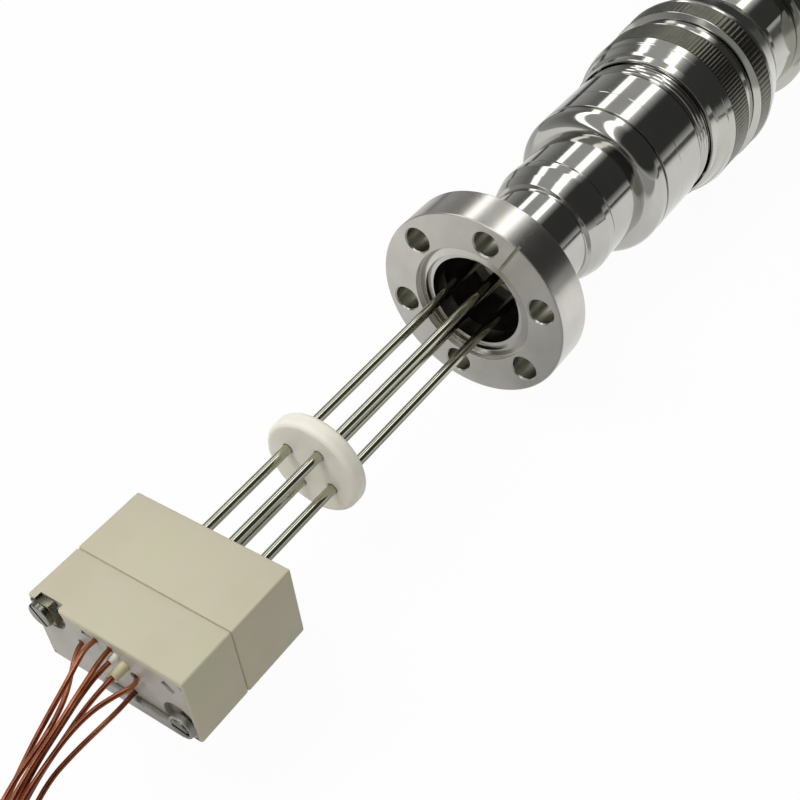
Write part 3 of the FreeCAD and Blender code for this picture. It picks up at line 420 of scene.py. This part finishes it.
def turned_mesh(name, corners, sides=SIDES, closed=True, centre=(0, 0)):
    """A mesh turned about the X axis, or about a line beside it, from corners of (station, radius) and maybe
    a rounding. An open outline starts and ends on the line."""
    shape = bmesh.new()
    rings = []
    for along, out in soft_outline(corners, closed):
        if out < 1e-6:
            rings.append([shape.verts.new((along * MM, centre[0] * MM, centre[1] * MM))])
            continue
        ring = []
        for side in range(sides):
            way = 2 * math.pi * side / sides
            across = centre[0] + out * math.cos(way)
            up = centre[1] + out * math.sin(way)
            ring.append(shape.verts.new((along * MM, across * MM, up * MM)))
        rings.append(ring)
    pairs = list(zip(rings, rings[1:])) + ([(rings[-1], rings[0])] if closed else [])
    for low, high in pairs:
        for side in range(sides):
            following = (side + 1) % sides
            corner_points = [low[side % len(low)], low[following % len(low)],
                             high[following % len(high)], high[side % len(high)]]
            shape.faces.new(list(dict.fromkeys(corner_points)))
    bmesh.ops.recalc_face_normals(shape, faces=shape.faces)
    mesh = bpy.data.meshes.new(name)
    shape.to_mesh(mesh)
    shape.free()
    return mesh


def as_object(name, mesh):
    """A mesh as an object in the scene."""
    item = bpy.data.objects.new(name, mesh)
    scene.collection.objects.link(item)
    return item


def piece(name, mesh, material, body, node=None, bore=None):
    """A finished piece: its mesh, its material, the body it rides on and the node it stands for. Faces that
    look at the axis take the bore's material, where one is given."""
    faces_axis = -0.4
    mesh.materials.clear()
    mesh.materials.append(material)
    mesh.shade_smooth()
    mesh.set_sharp_from_angle(angle=math.radians(CRISP_DEGREES))
    if bore:
        mesh.materials.append(bore)
        for face in mesh.polygons:
            out = Vector((0, face.center.y, face.center.z))
            if out.length > 0 and out.normalized().dot(face.normal) < faces_axis:
                face.material_index = 1
    item = as_object(name, mesh)
    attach(item, body)
    if node:
        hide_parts(node)
    return item


def evaluated_mesh(item):
    """The mesh that an object's modifiers give, as a plain mesh of its own."""
    bpy.context.view_layer.update()
    graph = bpy.context.evaluated_depsgraph_get()
    return bpy.data.meshes.new_from_object(item.evaluated_get(graph))


def cut(mesh, cutters, operation="DIFFERENCE"):
    """Cut each cutter's mesh out of a mesh, or join it on."""
    blank = as_object("blank", mesh)
    tools = [as_object("cutter", cutter) for cutter in cutters]
    for tool in tools:
        step = blank.modifiers.new("cut", "BOOLEAN")
        step.operation = operation
        step.solver = "EXACT"
        step.object = tool
    result = evaluated_mesh(blank)
    for item in tools + [blank]:
        bpy.data.objects.remove(item)
    return result


def box_mesh(name, low, high, rounding=0.0, segments=3, long_only=False):
    """A box between two corners, its edges rounded, or only those that run along X."""
    shape = bmesh.new()
    bmesh.ops.create_cube(shape, size=1.0)
    for vert in shape.verts:
        for axis in range(3):
            vert.co[axis] = (low[axis] if vert.co[axis] < 0 else high[axis]) * MM
    if rounding:
        edges = [edge for edge in shape.edges
                 if not long_only or abs(edge.verts[0].co.x - edge.verts[1].co.x) > MM / 10]
        bmesh.ops.bevel(shape, geom=edges, offset=rounding * MM, segments=segments, profile=0.5,
                        affect="EDGES", clamp_overlap=True)
    mesh = bpy.data.meshes.new(name)
    shape.to_mesh(mesh)
    shape.free()
    return mesh


def drill(low, high, radius, centre, sides=32):
    """The mesh that cuts a round hole along X."""
    return turned_mesh("drill", [(low, 0), (low, radius), (high, radius), (high, 0)], sides, False, centre)


def turn_mesh(mesh, degrees, centre=(0, 0)):
    """Turn a mesh about the X axis, then move it across and up to its centre."""
    mesh.transform(Matrix.Rotation(math.radians(degrees), 4, "X"))
    mesh.transform(Matrix.Translation((0, centre[0] * MM, centre[1] * MM)))
    return mesh


def slot_cutter(low, high, centre, length, width, degrees):
    """The mesh that cuts a straight slot into a face that looks along X."""
    blade = box_mesh("slot", (low, -length / 2, -width / 2), (high, length / 2, width / 2))
    return turn_mesh(blade, degrees, centre)


def joined(name, meshes):
    """Several meshes as one."""
    shape = bmesh.new()
    for part in meshes:
        shape.from_mesh(part)
    mesh = bpy.data.meshes.new(name)
    shape.to_mesh(mesh)
    shape.free()
    return mesh


def finish_band(item, material, low, high):
    """Give the faces that look outwards between two stations another finish."""
    item.data.materials.append(material)
    for face in item.data.polygons:
        looks_out = face.center.y * face.normal.y + face.center.z * face.normal.z > 0
        if looks_out and low * MM < face.center.x < high * MM:
            face.material_index = len(item.data.materials) - 1


def make_flange():
    """The knife-edge flange with its recess, six holes with broken edges, and two leak-check grooves."""
    blank = turned_mesh("cf_flange", [
        (0, 17.0, 0.3), (7.2, 17.0, 0.3), (7.2, 9.2), (4.7, 9.2), (4.7, 8.2), (1.3, 8.2), (1.3, 8.9),
        (0.55, 9.15, 0.04), (1.1, 10.7, 0.1), (0, 10.7, 0.12)])
    hole = [(-1, 0), (-1, 3.42), (0.22, BOLT_HOLE_R), (6.98, BOLT_HOLE_R), (8.2, 3.42), (8.2, 0)]
    cutters = []
    for index in range(6):
        way = math.radians(45 + 60 * index)
        centre = (BOLT_CIRCLE_R * math.cos(way), BOLT_CIRCLE_R * math.sin(way))
        cutters.append(turned_mesh("bolt_hole", hole, SMALL_SIDES, False, centre))
    groove_floor, groove_half_w = 0.8, 0.28
    for way in GROOVE_WAYS:
        groove = box_mesh("leak_groove", (-1, 10.15, -groove_half_w), (groove_floor, 18, groove_half_w))
        cutters.append(turn_mesh(groove, way))
    flange = piece("knife_edge_flange", cut(blank, cutters), FLANGE_STEEL, "feedthrough", "cf_flange")
    # The holes' walls and the grooves' floors keep the drill's and the cutter's rougher finish, with a darker
    # colour that paints the shade inside them
    flange.data.materials.append(SHADED_DRILL_STEEL)
    for face in flange.data.polygons:
        out = math.hypot(face.center.y, face.center.z) / MM
        in_hole = abs(face.normal.x) < 0.3 and abs(out - BOLT_CIRCLE_R) < BOLT_HOLE_R + 0.1
        in_groove = abs(face.center.x - groove_floor * MM) < 0.02 * MM and out > 10.8
        if in_hole or in_groove:
            face.material_index = 1


def make_tube():
    """The weld adapter: neck, swollen collar and thin tube, with painted shade inside."""
    blank = turned_mesh("weld_adapter", [
        (4.72, 8.2), (4.72, 9.18), (21.4, 9.2, 0.3), (21.8, 9.9, 0.25), (23.6, 10.6, 1.5),
        (25.8, 11.15, 1.2), (27.4, 11.15, 0.3), (28.0, 10.95, 0.3), (37.3, 10.95), (37.3, 10.3),
        (41.28, 10.3), (41.28, 9.6), (23.0, 9.6), (23.0, 8.2)])
    piece("polished_tube", blank, TUBE_STEEL, "feedthrough", "weld_adapter", bore=SHADED_BORE)


def make_shell():
    """The receptacle shell with its rounded front, narrow groove and relieved thread end."""
    blank = turned_mesh("receptacle_shell", [
        (37.32, 10.32), (37.32, 14.0, 2.7), (41.3, 14.0, 0.1), (41.4, 13.5, 0.08), (41.9, 13.5, 0.08),
        (42.0, 14.0, 0.1), (47.22, 14.0), (47.3, 13.94), (47.38, 14.0),
        (54.3, 14.0, 0.25), (54.8, 13.42, 0.1), (66.0, 13.42), (66.0, 11.6), (41.3, 11.6), (41.3, 10.32)])
    piece("receptacle_body", blank, TUBE_STEEL, "feedthrough", "receptacle_shell", bore=SHADED_BORE)


def make_nut():
    """The coupling nut: rim, bevels, knurled band and tail."""
    blank = turned_mesh("coupling_nut", [
        (58.5, 14.07, 0.1), (58.5, 14.6, 0.2), (60.5, 14.6, 0.3), (61.0, 14.95, 0.25), (63.0, 15.5, 0.3),
        (63.2, 15.75, 0.2), (64.4, 16.0, 0.15), (64.7, 16.06, 0.1), (70.3, 16.06, 0.1), (70.5, 16.18, 0.1),
        (71.6, 15.2, 0.3), (74.2, 15.2, 0.3), (74.2, 11.72), (69.1, 11.72), (69.1, 13.77), (61.5, 13.77),
        (61.5, 14.07)])
    nut = piece("coupling_nut_body", blank, NUT_STEEL, "nut", "coupling_nut", bore=SHADED_BORE)
    finish_band(nut, SHADED_KNURL, *NUT_KNURL)


def make_backshell():
    """The backshell: knurled lip, stepped taper, barrel with a milled flat, and the spigot that carries the
    gland nut."""
    blank = turned_mesh("backshell", [
        (74.5, 12.92), (74.5, 15.2, 0.15), (75.0, 16.42, 0.15), (79.5, 16.42, 0.15), (79.7, 16.6, 0.12),
        (80.3, 16.5, 0.25), (82.0, 16.0, 0.3), (84.5, 15.3, 1.5), (87.0, 14.3, 2.0), (89.6, 12.6, 0.6),
        (90.0, 12.5, 0.3), (101.0, 12.5, 0.35), (101.0, 10.2), (107.0, 10.2), (107.0, 9.02), (99.0, 9.02),
        (99.0, 8.6), (92.1, 8.6), (92.1, 11.68), (75.4, 11.68), (75.4, 12.92)])
    flat = turn_mesh(box_mesh("barrel_flat", (91.2, 11.8, -12.5), (99.8, 14.5, 12.5)), 160)
    backshell = piece("backshell_body", cut(blank, [flat]), NUT_STEEL, "plug", "backshell", bore=SHADED_BORE)
    finish_band(backshell, SHADED_KNURL, *BACKSHELL_KNURL)


def make_gland_nut():
    """The gland nut behind the backshell, with the bore for a cable."""
    blank = turned_mesh("gland_nut", [
        (101.2, 10.25), (101.2, 14.6, 0.75), (112.2, 14.6, 1.5), (112.2, 4.0, 0.6), (108.0, 4.0),
        (108.0, 10.25)])
    piece("gland_nut_body", blank, NUT_STEEL, "plug", "gland_nut", bore=SHADED_BORE)


# Where the four rods stand: their ways round the axis, and from these their places across and up
ROD_WAYS = [math.radians(31 + 90 * index) for index in range(4)]
ROD_CENTRES = [(ROD_CIRCLE_R * math.cos(way), ROD_CIRCLE_R * math.sin(way)) for way in ROD_WAYS]


def make_rods():
    """The four conductors, from their terminals to the pins' tips."""
    outline = [(ROD_BACK, 0), (ROD_BACK, ROD_R, 0.1), (56.0, ROD_R, 0.3), (56.0, 0)]
    for number, centre in enumerate(ROD_CENTRES, 1):
        rod = turned_mesh("conductor", outline, THIN_SIDES, False, centre)
        piece(f"rod_{number}", rod, ROD_METAL, "feedthrough", f"conductor_{number}")


def make_disc():
    """The ceramic spacer, drilled for the rods, its rim rounded and its holes lightly broken."""
    blank = turned_mesh("spacer_disc", [(-42.3, 0), (-42.3, 8.15, 0.9), (-39.3, 8.15, 0.9), (-39.3, 0)],
                        SIDES, False)
    hole = [(-43.5, 0), (-43.5, 2.16), (-42.14, ROD_HOLE_R), (-39.46, ROD_HOLE_R), (-38.1, 2.16), (-38.1, 0)]
    holes = [turned_mesh("disc_hole", hole, THIN_SIDES, False, centre) for centre in ROD_CENTRES]
    piece("ceramic_disc", cut(blank, holes), ALUMINA, "feedthrough", "spacer_disc")


# The block's screws, the upper one first: their centres, and then the station that each is seated at, its
# head's radius and the way its slot lies, in degrees
SCREW_CENTRES = [(10.9, 4.2), (-11.05, -3.55)]
SCREW_HEADS = [(-82.6, 1.9, 54), (-82.5, 1.45, 8)]


def block_half(name, front, back, rounding, segments):
    """One half of the block, before it is drilled."""
    return box_mesh(name, (front, -BLOCK_HALF_W, -BLOCK_HALF_H), (back, BLOCK_HALF_W, BLOCK_HALF_H), rounding,
                    segments)


def make_block():
    """The two halves of the block: putty-coloured boxes that meet in a fine seam. The front one is scooped
    out round the upper screw."""
    holes = [drill(ROD_BACK, -61.0, ROD_HOLE_R, centre) for centre in ROD_CENTRES]
    holes += [drill(ROD_BACK, -64.3, SHANK_HOLE_R, centre) for centre in SCREW_CENTRES]
    rear = block_half("rear_housing", BLOCK_SEAM, BLOCK_REAR, 0.28, 3)
    piece("rear_half", cut(rear, holes), BLOCK_PEEK, "feedthrough", "rear_housing")
    cavity = box_mesh("cavity", (BLOCK_CLEAR, -12.9, -5.75), (-74.5, 12.9, 5.1))
    scoop = drill(BLOCK_CLEAR, -81.2, SCOOP_R, SCOOP_CENTRE, SMALL_SIDES)
    holes = [drill(-75.0, -72.0, ROD_HOLE_R, centre) for centre in ROD_CENTRES]
    holes += [drill(BLOCK_CLEAR, -72.0, SHANK_HOLE_R, centre) for centre in SCREW_CENTRES]
    front = block_half("front_housing", BLOCK_FRONT, BLOCK_SEAM, 0.4, 4)
    piece("front_half", cut(front, [cavity, scoop] + holes), BLOCK_PEEK, "feedthrough", "front_housing")


def make_end_plate():
    """The end plate, with the leads' holes, two small slots, and a sunk seat round each screw."""
    through, seat_floor = -80.0, -81.5
    blank = box_mesh("end_plate", (BLOCK_FRONT, -12.85, -5.7), (PLATE_BACK, 12.85, 5.05), 0.8, 8,
                     long_only=True)
    cutters = [drill(BLOCK_CLEAR, seat_floor, SCOOP_R, SCOOP_CENTRE, SMALL_SIDES),
               drill(BLOCK_CLEAR, seat_floor, 2.6, (-10.6, -2.6), SMALL_SIDES),
               slot_cutter(BLOCK_CLEAR, through, (3.3, 4.35), 1.7, 0.9, 16),
               slot_cutter(BLOCK_CLEAR, through, (-10.35, 3.5), 2.0, 1.2, 40)]
    cutters += [drill(BLOCK_CLEAR, through, SHANK_HOLE_R, centre) for centre in SCREW_CENTRES]
    # A bare lead's hole. Two leads have a sleeve in theirs, and lead_6 has a wider hole, off its middle
    bare_hole_r = 0.49
    other_holes = {"lead_4": 0.61, "lead_5": 0.8, "lead_6": 0.75}
    for name, points in LEADS.items():
        across, up = points[0][1:]
        if name == "lead_6":
            across, up = across - 0.175, up + 0.175
        cutters.append(drill(BLOCK_CLEAR, through, other_holes.get(name, bare_hole_r), (across, up)))
    piece("front_plate", cut(blank, cutters), PLATE_PLASTIC, "feedthrough", "end_plate")


def make_clamp_bar():
    """The bar across the foot of the plate, with a round eye for the lower screw."""
    face, sink_floor = -83.1, -82.48
    centre = SCREW_CENTRES[1]
    bar = box_mesh("clamp_bar", (face, -11.2, -5.6), (BLOCK_FRONT, 2.6, -3.7), 0.18)
    eye = turned_mesh("eye", [(face, 0), (face, 1.95, 0.18), (BLOCK_FRONT, 1.95), (BLOCK_FRONT, 0)],
                      SMALL_SIDES, False, centre)
    holes = [drill(BLOCK_CLEAR, -82.0, SHANK_HOLE_R, centre),
             drill(BLOCK_CLEAR, sink_floor, 1.52, centre, SMALL_SIDES)]
    piece("clamp_bar_body", cut(cut(bar, [eye], "UNION"), holes), BAR_METAL, "feedthrough", "clamp_bar")


def make_screws():
    """Two slotted cheese-head screws: one on a square nut at the block's edge, one sunk in the bar's eye."""
    tip, head_height = -65.3, 0.75
    made = []
    for centre, (seat, radius, way) in zip(SCREW_CENTRES, SCREW_HEADS):
        top = seat - head_height
        blank = turned_mesh("screw", [
            (top, 0), (top, radius, 0.22), (seat, radius, 0.08), (seat, SHANK_R), (tip, SHANK_R, 0.2),
            (tip, 0)], SMALL_SIDES, False, centre)
        made.append(cut(blank, [slot_cutter(seat - 2, seat - 0.3, centre, 5.0, 0.5, way)]))
    nut = box_mesh("square_nut", (-82.58, -1.75, -1.75), (-81.25, 1.75, 1.75), 0.15)
    made.append(turn_mesh(nut, -6, SCREW_CENTRES[0]))
    piece("block_screws", joined("block_screws", made), SCREW_METAL, "feedthrough", "housing_screws")


def make_ferrules():
    """The two short insulating tubes that the middle leads come out through."""
    bore_r = 0.42
    for name, lead, tip, radius, material in (("white_ferrule", "lead_4", -83.5, 0.56, ALUMINA),
                                              ("beige_ferrule", "lead_5", -84.5, 0.75, SLEEVE_PEEK)):
        blank = turned_mesh(name, [(tip, bore_r), (tip, radius, 0.05), (PLATE_BACK, radius),
                                   (PLATE_BACK, bore_r)], 48, centre=LEADS[lead][0][1:])
        piece(name + "_tube", blank, material, "feedthrough", name)


def merged_copy(name, node, material, body):
    """A node's own shape with its loose triangles joined and its edges shaded."""
    shape = bmesh.new()
    shape.from_mesh(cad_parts[node].data)
    bmesh.ops.remove_doubles(shape, verts=shape.verts, dist=1e-6)
    mesh = bpy.data.meshes.new(name)
    shape.to_mesh(mesh)
    shape.free()
    return piece(name, mesh, material, body, node)


for make in (make_flange, make_tube, make_shell, make_nut, make_backshell, make_gland_nut, make_rods,
             make_disc, make_block, make_end_plate, make_clamp_bar, make_screws, make_ferrules):
    make()


def geometry_tree(name, sockets):
    """A Geometry Nodes tree with named inputs, each of a kind and a first value, and those inputs."""
    tree = bpy.data.node_groups.new(name, "GeometryNodeTree")
    tree.interface.new_socket("Geometry", in_out="OUTPUT", socket_type="NodeSocketGeometry")
    for label, (kind, number) in sockets.items():
        socket = tree.interface.new_socket(label, in_out="INPUT", socket_type="NodeSocket" + kind)
        socket.default_value = number
    return tree, add(tree, "NodeGroupInput")


def close_tree(tree, geometry, material):
    """End a tree: make its copies real and give them their material."""
    real = add(tree, "GeometryNodeRealizeInstances", {"Geometry": geometry})[0]
    coated = add(tree, "GeometryNodeSetMaterial", {"Geometry": real, "Material": material})[0]
    add(tree, "NodeGroupOutput", {"Geometry": coated})
    return tree


def knurl_tree(material):
    """Straight knurl: teeth laid along the axis, evenly round a band. Its sizes are in metres."""
    tree, sizes = geometry_tree("straight_knurl", {
        "Teeth": ("Int", 100), "Start": ("Float", 0.0), "Length": ("Float", 0.005),
        "Radius": ("Float", 0.016), "Height": ("Float", 0.00015), "Width": ("Float", 0.0005)})
    # One tooth is a bar of unit size, laid along the axis and pressed flat
    bar = add(tree, "GeometryNodeMeshCylinder", {"Vertices": 12, "Radius": 1.0, "Depth": 1.0})["Mesh"]
    laid = add(tree, "GeometryNodeTransform", {"Geometry": bar, "Rotation": (0, math.pi / 2, 0)})[0]
    half_width = add(tree, "ShaderNodeMath", {0: sizes["Width"], 1: 0.5}, operation="MULTIPLY")[0]
    size = add(tree, "ShaderNodeCombineXYZ", {"X": sizes["Length"], "Y": sizes["Height"], "Z": half_width})[0]
    tooth = add(tree, "GeometryNodeTransform", {"Geometry": laid, "Scale": size})[0]
    # Each tooth's way round the axis, and from it the tooth's place
    step = add(tree, "ShaderNodeMath", {0: 2 * math.pi, 1: sizes["Teeth"]}, operation="DIVIDE")[0]
    index = add(tree, "GeometryNodeInputIndex")[0]
    way = add(tree, "ShaderNodeMath", {0: index, 1: step}, operation="MULTIPLY")[0]
    cosine = add(tree, "ShaderNodeMath", {0: way}, operation="COSINE")[0]
    sine = add(tree, "ShaderNodeMath", {0: way}, operation="SINE")[0]
    half_length = add(tree, "ShaderNodeMath", {0: sizes["Length"], 1: 0.5}, operation="MULTIPLY")[0]
    place = add(tree, "ShaderNodeCombineXYZ", {
        "X": add(tree, "ShaderNodeMath", {0: sizes["Start"], 1: half_length}, operation="ADD")[0],
        "Y": add(tree, "ShaderNodeMath", {0: sizes["Radius"], 1: cosine}, operation="MULTIPLY")[0],
        "Z": add(tree, "ShaderNodeMath", {0: sizes["Radius"], 1: sine}, operation="MULTIPLY")[0]})[0]
    points = add(tree, "GeometryNodePoints", {"Count": sizes["Teeth"], "Position": place})[0]
    turn = add(tree, "ShaderNodeCombineXYZ", {"X": way})[0]
    teeth = add(tree, "GeometryNodeInstanceOnPoints", {
        "Points": points, "Instance": tooth, "Rotation": turn})[0]
    return close_tree(tree, teeth, material)


def thread_tree(material):
    """Thread: one rounded ridge wound along the axis. Its sizes are in metres."""
    tree, sizes = geometry_tree("shell_thread", {
        "Start": ("Float", 0.05), "Length": ("Float", 0.01), "Turns": ("Float", 10.0),
        "Radius": ("Float", 0.0134), "Ridge": ("Float", 0.0003)})
    winding = add(tree, "GeometryNodeCurveSpiral", {
        "Resolution": 96, "Rotations": sizes["Turns"], "Start Radius": sizes["Radius"],
        "End Radius": sizes["Radius"], "Height": sizes["Length"]})[0]
    ridge = add(tree, "GeometryNodeCurvePrimitiveCircle", {"Resolution": 8, "Radius": sizes["Ridge"]})[0]
    swept = add(tree, "GeometryNodeCurveToMesh", {
        "Curve": winding, "Profile Curve": ridge, "Fill Caps": True})[0]
    start = add(tree, "ShaderNodeCombineXYZ", {"X": sizes["Start"]})[0]
    placed = add(tree, "GeometryNodeTransform", {
        "Geometry": swept, "Translation": start, "Rotation": (0, math.pi / 2, 0)})[0]
    return close_tree(tree, placed, material)


def grown(name, tree, sizes, material, body):
    """Run a tree with these sizes and keep what it gives as a plain mesh piece."""
    holder = as_object(name + "_holder", bpy.data.meshes.new(name + "_holder"))
    step = holder.modifiers.new("grow", "NODES")
    step.node_group = tree
    for socket in tree.interface.items_tree:
        if socket.in_out == "INPUT" and socket.name in sizes:
            step[socket.identifier] = sizes[socket.name]
    mesh = evaluated_mesh(holder)
    holder.modifiers.remove(step)
    bpy.data.objects.remove(holder)
    return piece(name, mesh, material, body)


# The teeth take the knurled steel, whose dark colour is painted shade
knurls = knurl_tree(SHADED_KNURL)
grown("nut_knurl", knurls, {
    "Teeth": 140, "Start": 0.06475, "Length": 0.0055, "Radius": 0.01598, "Height": 0.00012,
    "Width": 0.0008}, SHADED_KNURL, "nut")
grown("backshell_knurl", knurls, {
    "Teeth": 104, "Start": 0.07515, "Length": 0.0042, "Radius": 0.01634, "Height": 0.00012,
    "Width": 0.0011}, SHADED_KNURL, "plug")
grown("shell_thread", thread_tree(TUBE_STEEL), {
    "Start": 0.0551, "Length": 0.0106, "Turns": 10.6, "Radius": 0.01342,
    "Ridge": 0.00032}, TUBE_STEEL, "feedthrough")


# The nodes that keep their own shape: each one's material and body
KEPT = {
    "header_sleeve": (HEADER_METAL, "feedthrough"), "header_ceramic": (ALUMINA, "feedthrough"),
    "pin_insert": (INSERT_PLASTIC, "feedthrough"), "face_seal": (SEAL_RUBBER, "plug"),
    "plug_shell": (TUBE_STEEL, "plug"), "plug_insert": (INSERT_PLASTIC, "plug"),
    "retaining_ring": (SCREW_METAL, "plug"), "gland_seal": (SEAL_RUBBER, "plug"),
    "gland_washer": (SCREW_METAL, "plug"),
}
for number in range(1, 5):
    KEPT[f"braze_collar_{number}"] = (HEADER_METAL, "feedthrough")
    KEPT[f"terminal_{number}"] = (TERMINAL_BRASS, "feedthrough")
    KEPT[f"socket_contact_{number}"] = (SOCKET_GOLD, "plug")
for node_name, (node_material, node_body) in KEPT.items():
    merged_copy(node_name + "_dressed", node_name, node_material, node_body)


def studio_floor():
    """A plain pale floor. The camera sees it white. Polished metal sees a glowing sheet with painted shade,
    which dims towards the left under the air side and towards the right under the vacuum side, and fades
    beyond the plug."""
    shape = bmesh.new()
    bmesh.ops.create_grid(shape, x_segments=2, y_segments=2, size=3.0)
    bmesh.ops.translate(shape, vec=(0, 0, cad_box[0][2] - MM / 2), verts=shape.verts)
    mesh = bpy.data.meshes.new("floor")
    shape.to_mesh(mesh)
    shape.free()
    material = bpy.data.materials.new("pale_floor")
    material.use_nodes = True
    tree = material.node_tree
    tree.nodes.clear()
    place = add(tree, "ShaderNodeTexCoord")["Object"]
    parts = add(tree, "ShaderNodeSeparateXYZ", {"Vector": place})
    path = add(tree, "ShaderNodeLightPath")
    seen = add(tree, "ShaderNodeMath", {
        0: path["Is Camera Ray"], 1: path["Is Transmission Ray"]}, operation="MAXIMUM")[0]
    # A little of the real paper is left in what the camera sees, and with it the object's shadow
    whitened = add(tree, "ShaderNodeMath", {0: seen, 1: 0.965}, operation="MULTIPLY")[0]
    paper = add(tree, "ShaderNodeBsdfDiffuse", {"Color": to_linear("#E8E8E6")})[0]
    # Painted shade in the sheet that polished metal sees: darker under the air side and the vacuum side,
    # fading beyond the plug
    across_air = add(tree, "ShaderNodeMapRange", {
        "Value": parts["Y"], "From Min": -0.05, "From Max": 0.12})["Result"]
    across_vacuum = add(tree, "ShaderNodeMapRange", {
        "Value": parts["Y"], "From Min": -0.01, "From Max": 0.04})["Result"]
    air_side = add(tree, "ShaderNodeValToRGB", {"Fac": across_air},
                   [(0.0, 1.0), (0.25, 0.9), (1.0, 0.62)])["Color"]
    vacuum_side = add(tree, "ShaderNodeValToRGB", {"Fac": across_vacuum}, [(0.0, 0.42), (1.0, 1.0)])["Color"]
    air_share = add(tree, "ShaderNodeMapRange", {
        "Value": parts["X"], "From Min": -0.006, "From Max": 0.006})["Result"]
    either = add(tree, "ShaderNodeMix", {
        "Factor": air_share, "A": vacuum_side, "B": air_side}, data_type="RGBA")["Result"]
    fade = add(tree, "ShaderNodeMapRange", {
        "Value": parts["X"], "From Min": 0.15, "From Max": 0.28, "To Min": 1.0, "To Max": 0.1})["Result"]
    sheet = add(tree, "ShaderNodeEmission", {"Color": either, "Strength": fade})[0]
    white = add(tree, "ShaderNodeEmission", {"Color": (1, 1, 1, 1), "Strength": 1.0})[0]
    plain = add(tree, "ShaderNodeMixShader", {0: path["Is Glossy Ray"], 1: paper, 2: sheet})[0]
    shown = add(tree, "ShaderNodeMixShader", {0: whitened, 1: plain, 2: white})[0]
    add(tree, "ShaderNodeOutputMaterial", {"Surface": shown})
    mesh.materials.append(material)
    as_object("floor", mesh)


def studio_world():
    """White all round for the camera, a soft warm grey for matt surfaces, and for polished ones a dim room
    with two window panes overhead."""
    world = bpy.data.worlds.new("studio")
    scene.world = world
    world.use_nodes = True
    tree = world.node_tree
    tree.nodes.clear()
    toward = add(tree, "ShaderNodeTexCoord")["Generated"]
    parts = add(tree, "ShaderNodeSeparateXYZ", {"Vector": toward})
    way = add(tree, "ShaderNodeMath", {0: parts["Z"], 1: parts["Y"]}, operation="ARCTAN2")[0]
    share = add(tree, "ShaderNodeMapRange", {
        "Value": way, "From Min": -math.pi, "From Max": math.pi})["Result"]

    def at(degrees):
        """A way round the axis as its share of the whole turn."""
        return (degrees + 180) / 360

    room = add(tree, "ShaderNodeValToRGB", {"Fac": share}, [
        (at(-178), 0.95), (at(-110), 0.9), (at(-5), 0.5), (at(36), 0.2), (at(47), 0.2), (at(49), 0.85),
        (at(58), 0.85), (at(60), 0.5), (at(84), 0.5), (at(87), 1.0), (at(98), 1.0), (at(101), 0.7),
        (at(108), 0.3), (at(114), 0.05), (at(168), 0.045), (at(178), 0.5)])["Color"]
    panes = add(tree, "ShaderNodeValToRGB", {"Fac": share}, [
        (at(47), 0.0), (at(49), 1.0), (at(58), 1.0), (at(60), 0.0), (at(85), 0.0), (at(87), 1.0),
        (at(98), 1.0), (at(100), 0.0)])["Color"]
    # The room's two ends, where a ray runs nearly along the axis: the vacuum end is the brighter one
    steepness = add(tree, "ShaderNodeMath", {0: parts["X"]}, operation="ABSOLUTE")[0]
    near_axis = add(tree, "ShaderNodeMapRange", {
        "Value": steepness, "From Min": 0.88, "From Max": 0.97})["Result"]
    end_share = add(tree, "ShaderNodeMapRange", {
        "Value": parts["X"], "From Min": -1.0, "From Max": 1.0})["Result"]
    ends = add(tree, "ShaderNodeValToRGB", {"Fac": end_share}, [(0.3, 0.3), (0.7, 0.05)])["Color"]
    around = add(tree, "ShaderNodeMix", {
        "Factor": near_axis, "A": room, "B": ends}, data_type="RGBA")["Result"]
    dim = add(tree, "ShaderNodeBackground", {"Color": around, "Strength": 1.0})[0]
    pane_light = add(tree, "ShaderNodeMapRange", {"Value": near_axis, "To Min": 1.8, "To Max": 0.0})["Result"]
    bright = add(tree, "ShaderNodeBackground", {"Color": panes, "Strength": pane_light})[0]
    polished = add(tree, "ShaderNodeAddShader", {0: dim, 1: bright})[0]
    soft = add(tree, "ShaderNodeBackground", {"Color": (1, 0.96, 0.89, 1), "Strength": 0.34})[0]
    white = add(tree, "ShaderNodeBackground", {"Color": (1, 1, 1, 1), "Strength": 1.0})[0]
    path = add(tree, "ShaderNodeLightPath")
    seen = add(tree, "ShaderNodeMath", {
        0: path["Is Camera Ray"], 1: path["Is Transmission Ray"]}, operation="MAXIMUM")[0]
    on_object = add(tree, "ShaderNodeMixShader", {0: path["Is Glossy Ray"], 1: soft, 2: polished})[0]
    shown = add(tree, "ShaderNodeMixShader", {0: seen, 1: on_object, 2: white})[0]
    add(tree, "ShaderNodeOutputWorld", {"Surface": shown})


def studio_lamp():
    """One large soft lamp, high up and to the left as the camera sees it. Polished metal doesn't see it."""
    data = bpy.data.lights.new("overhead_lamp", "AREA")
    data.shape = "SQUARE"
    data.size = 0.6
    data.energy = 5.9
    lamp = bpy.data.objects.new("overhead_lamp", data)
    scene.collection.objects.link(lamp)
    spot = Vector((-0.28, 0.28, 0.82))
    lamp.matrix_world = Matrix.Translation(spot) @ (-spot).to_track_quat("-Z", "Y").to_matrix().to_4x4()
    lamp.visible_glossy = False


studio_floor()
studio_world()
studio_lamp()
scene.view_settings.view_transform = "Standard"
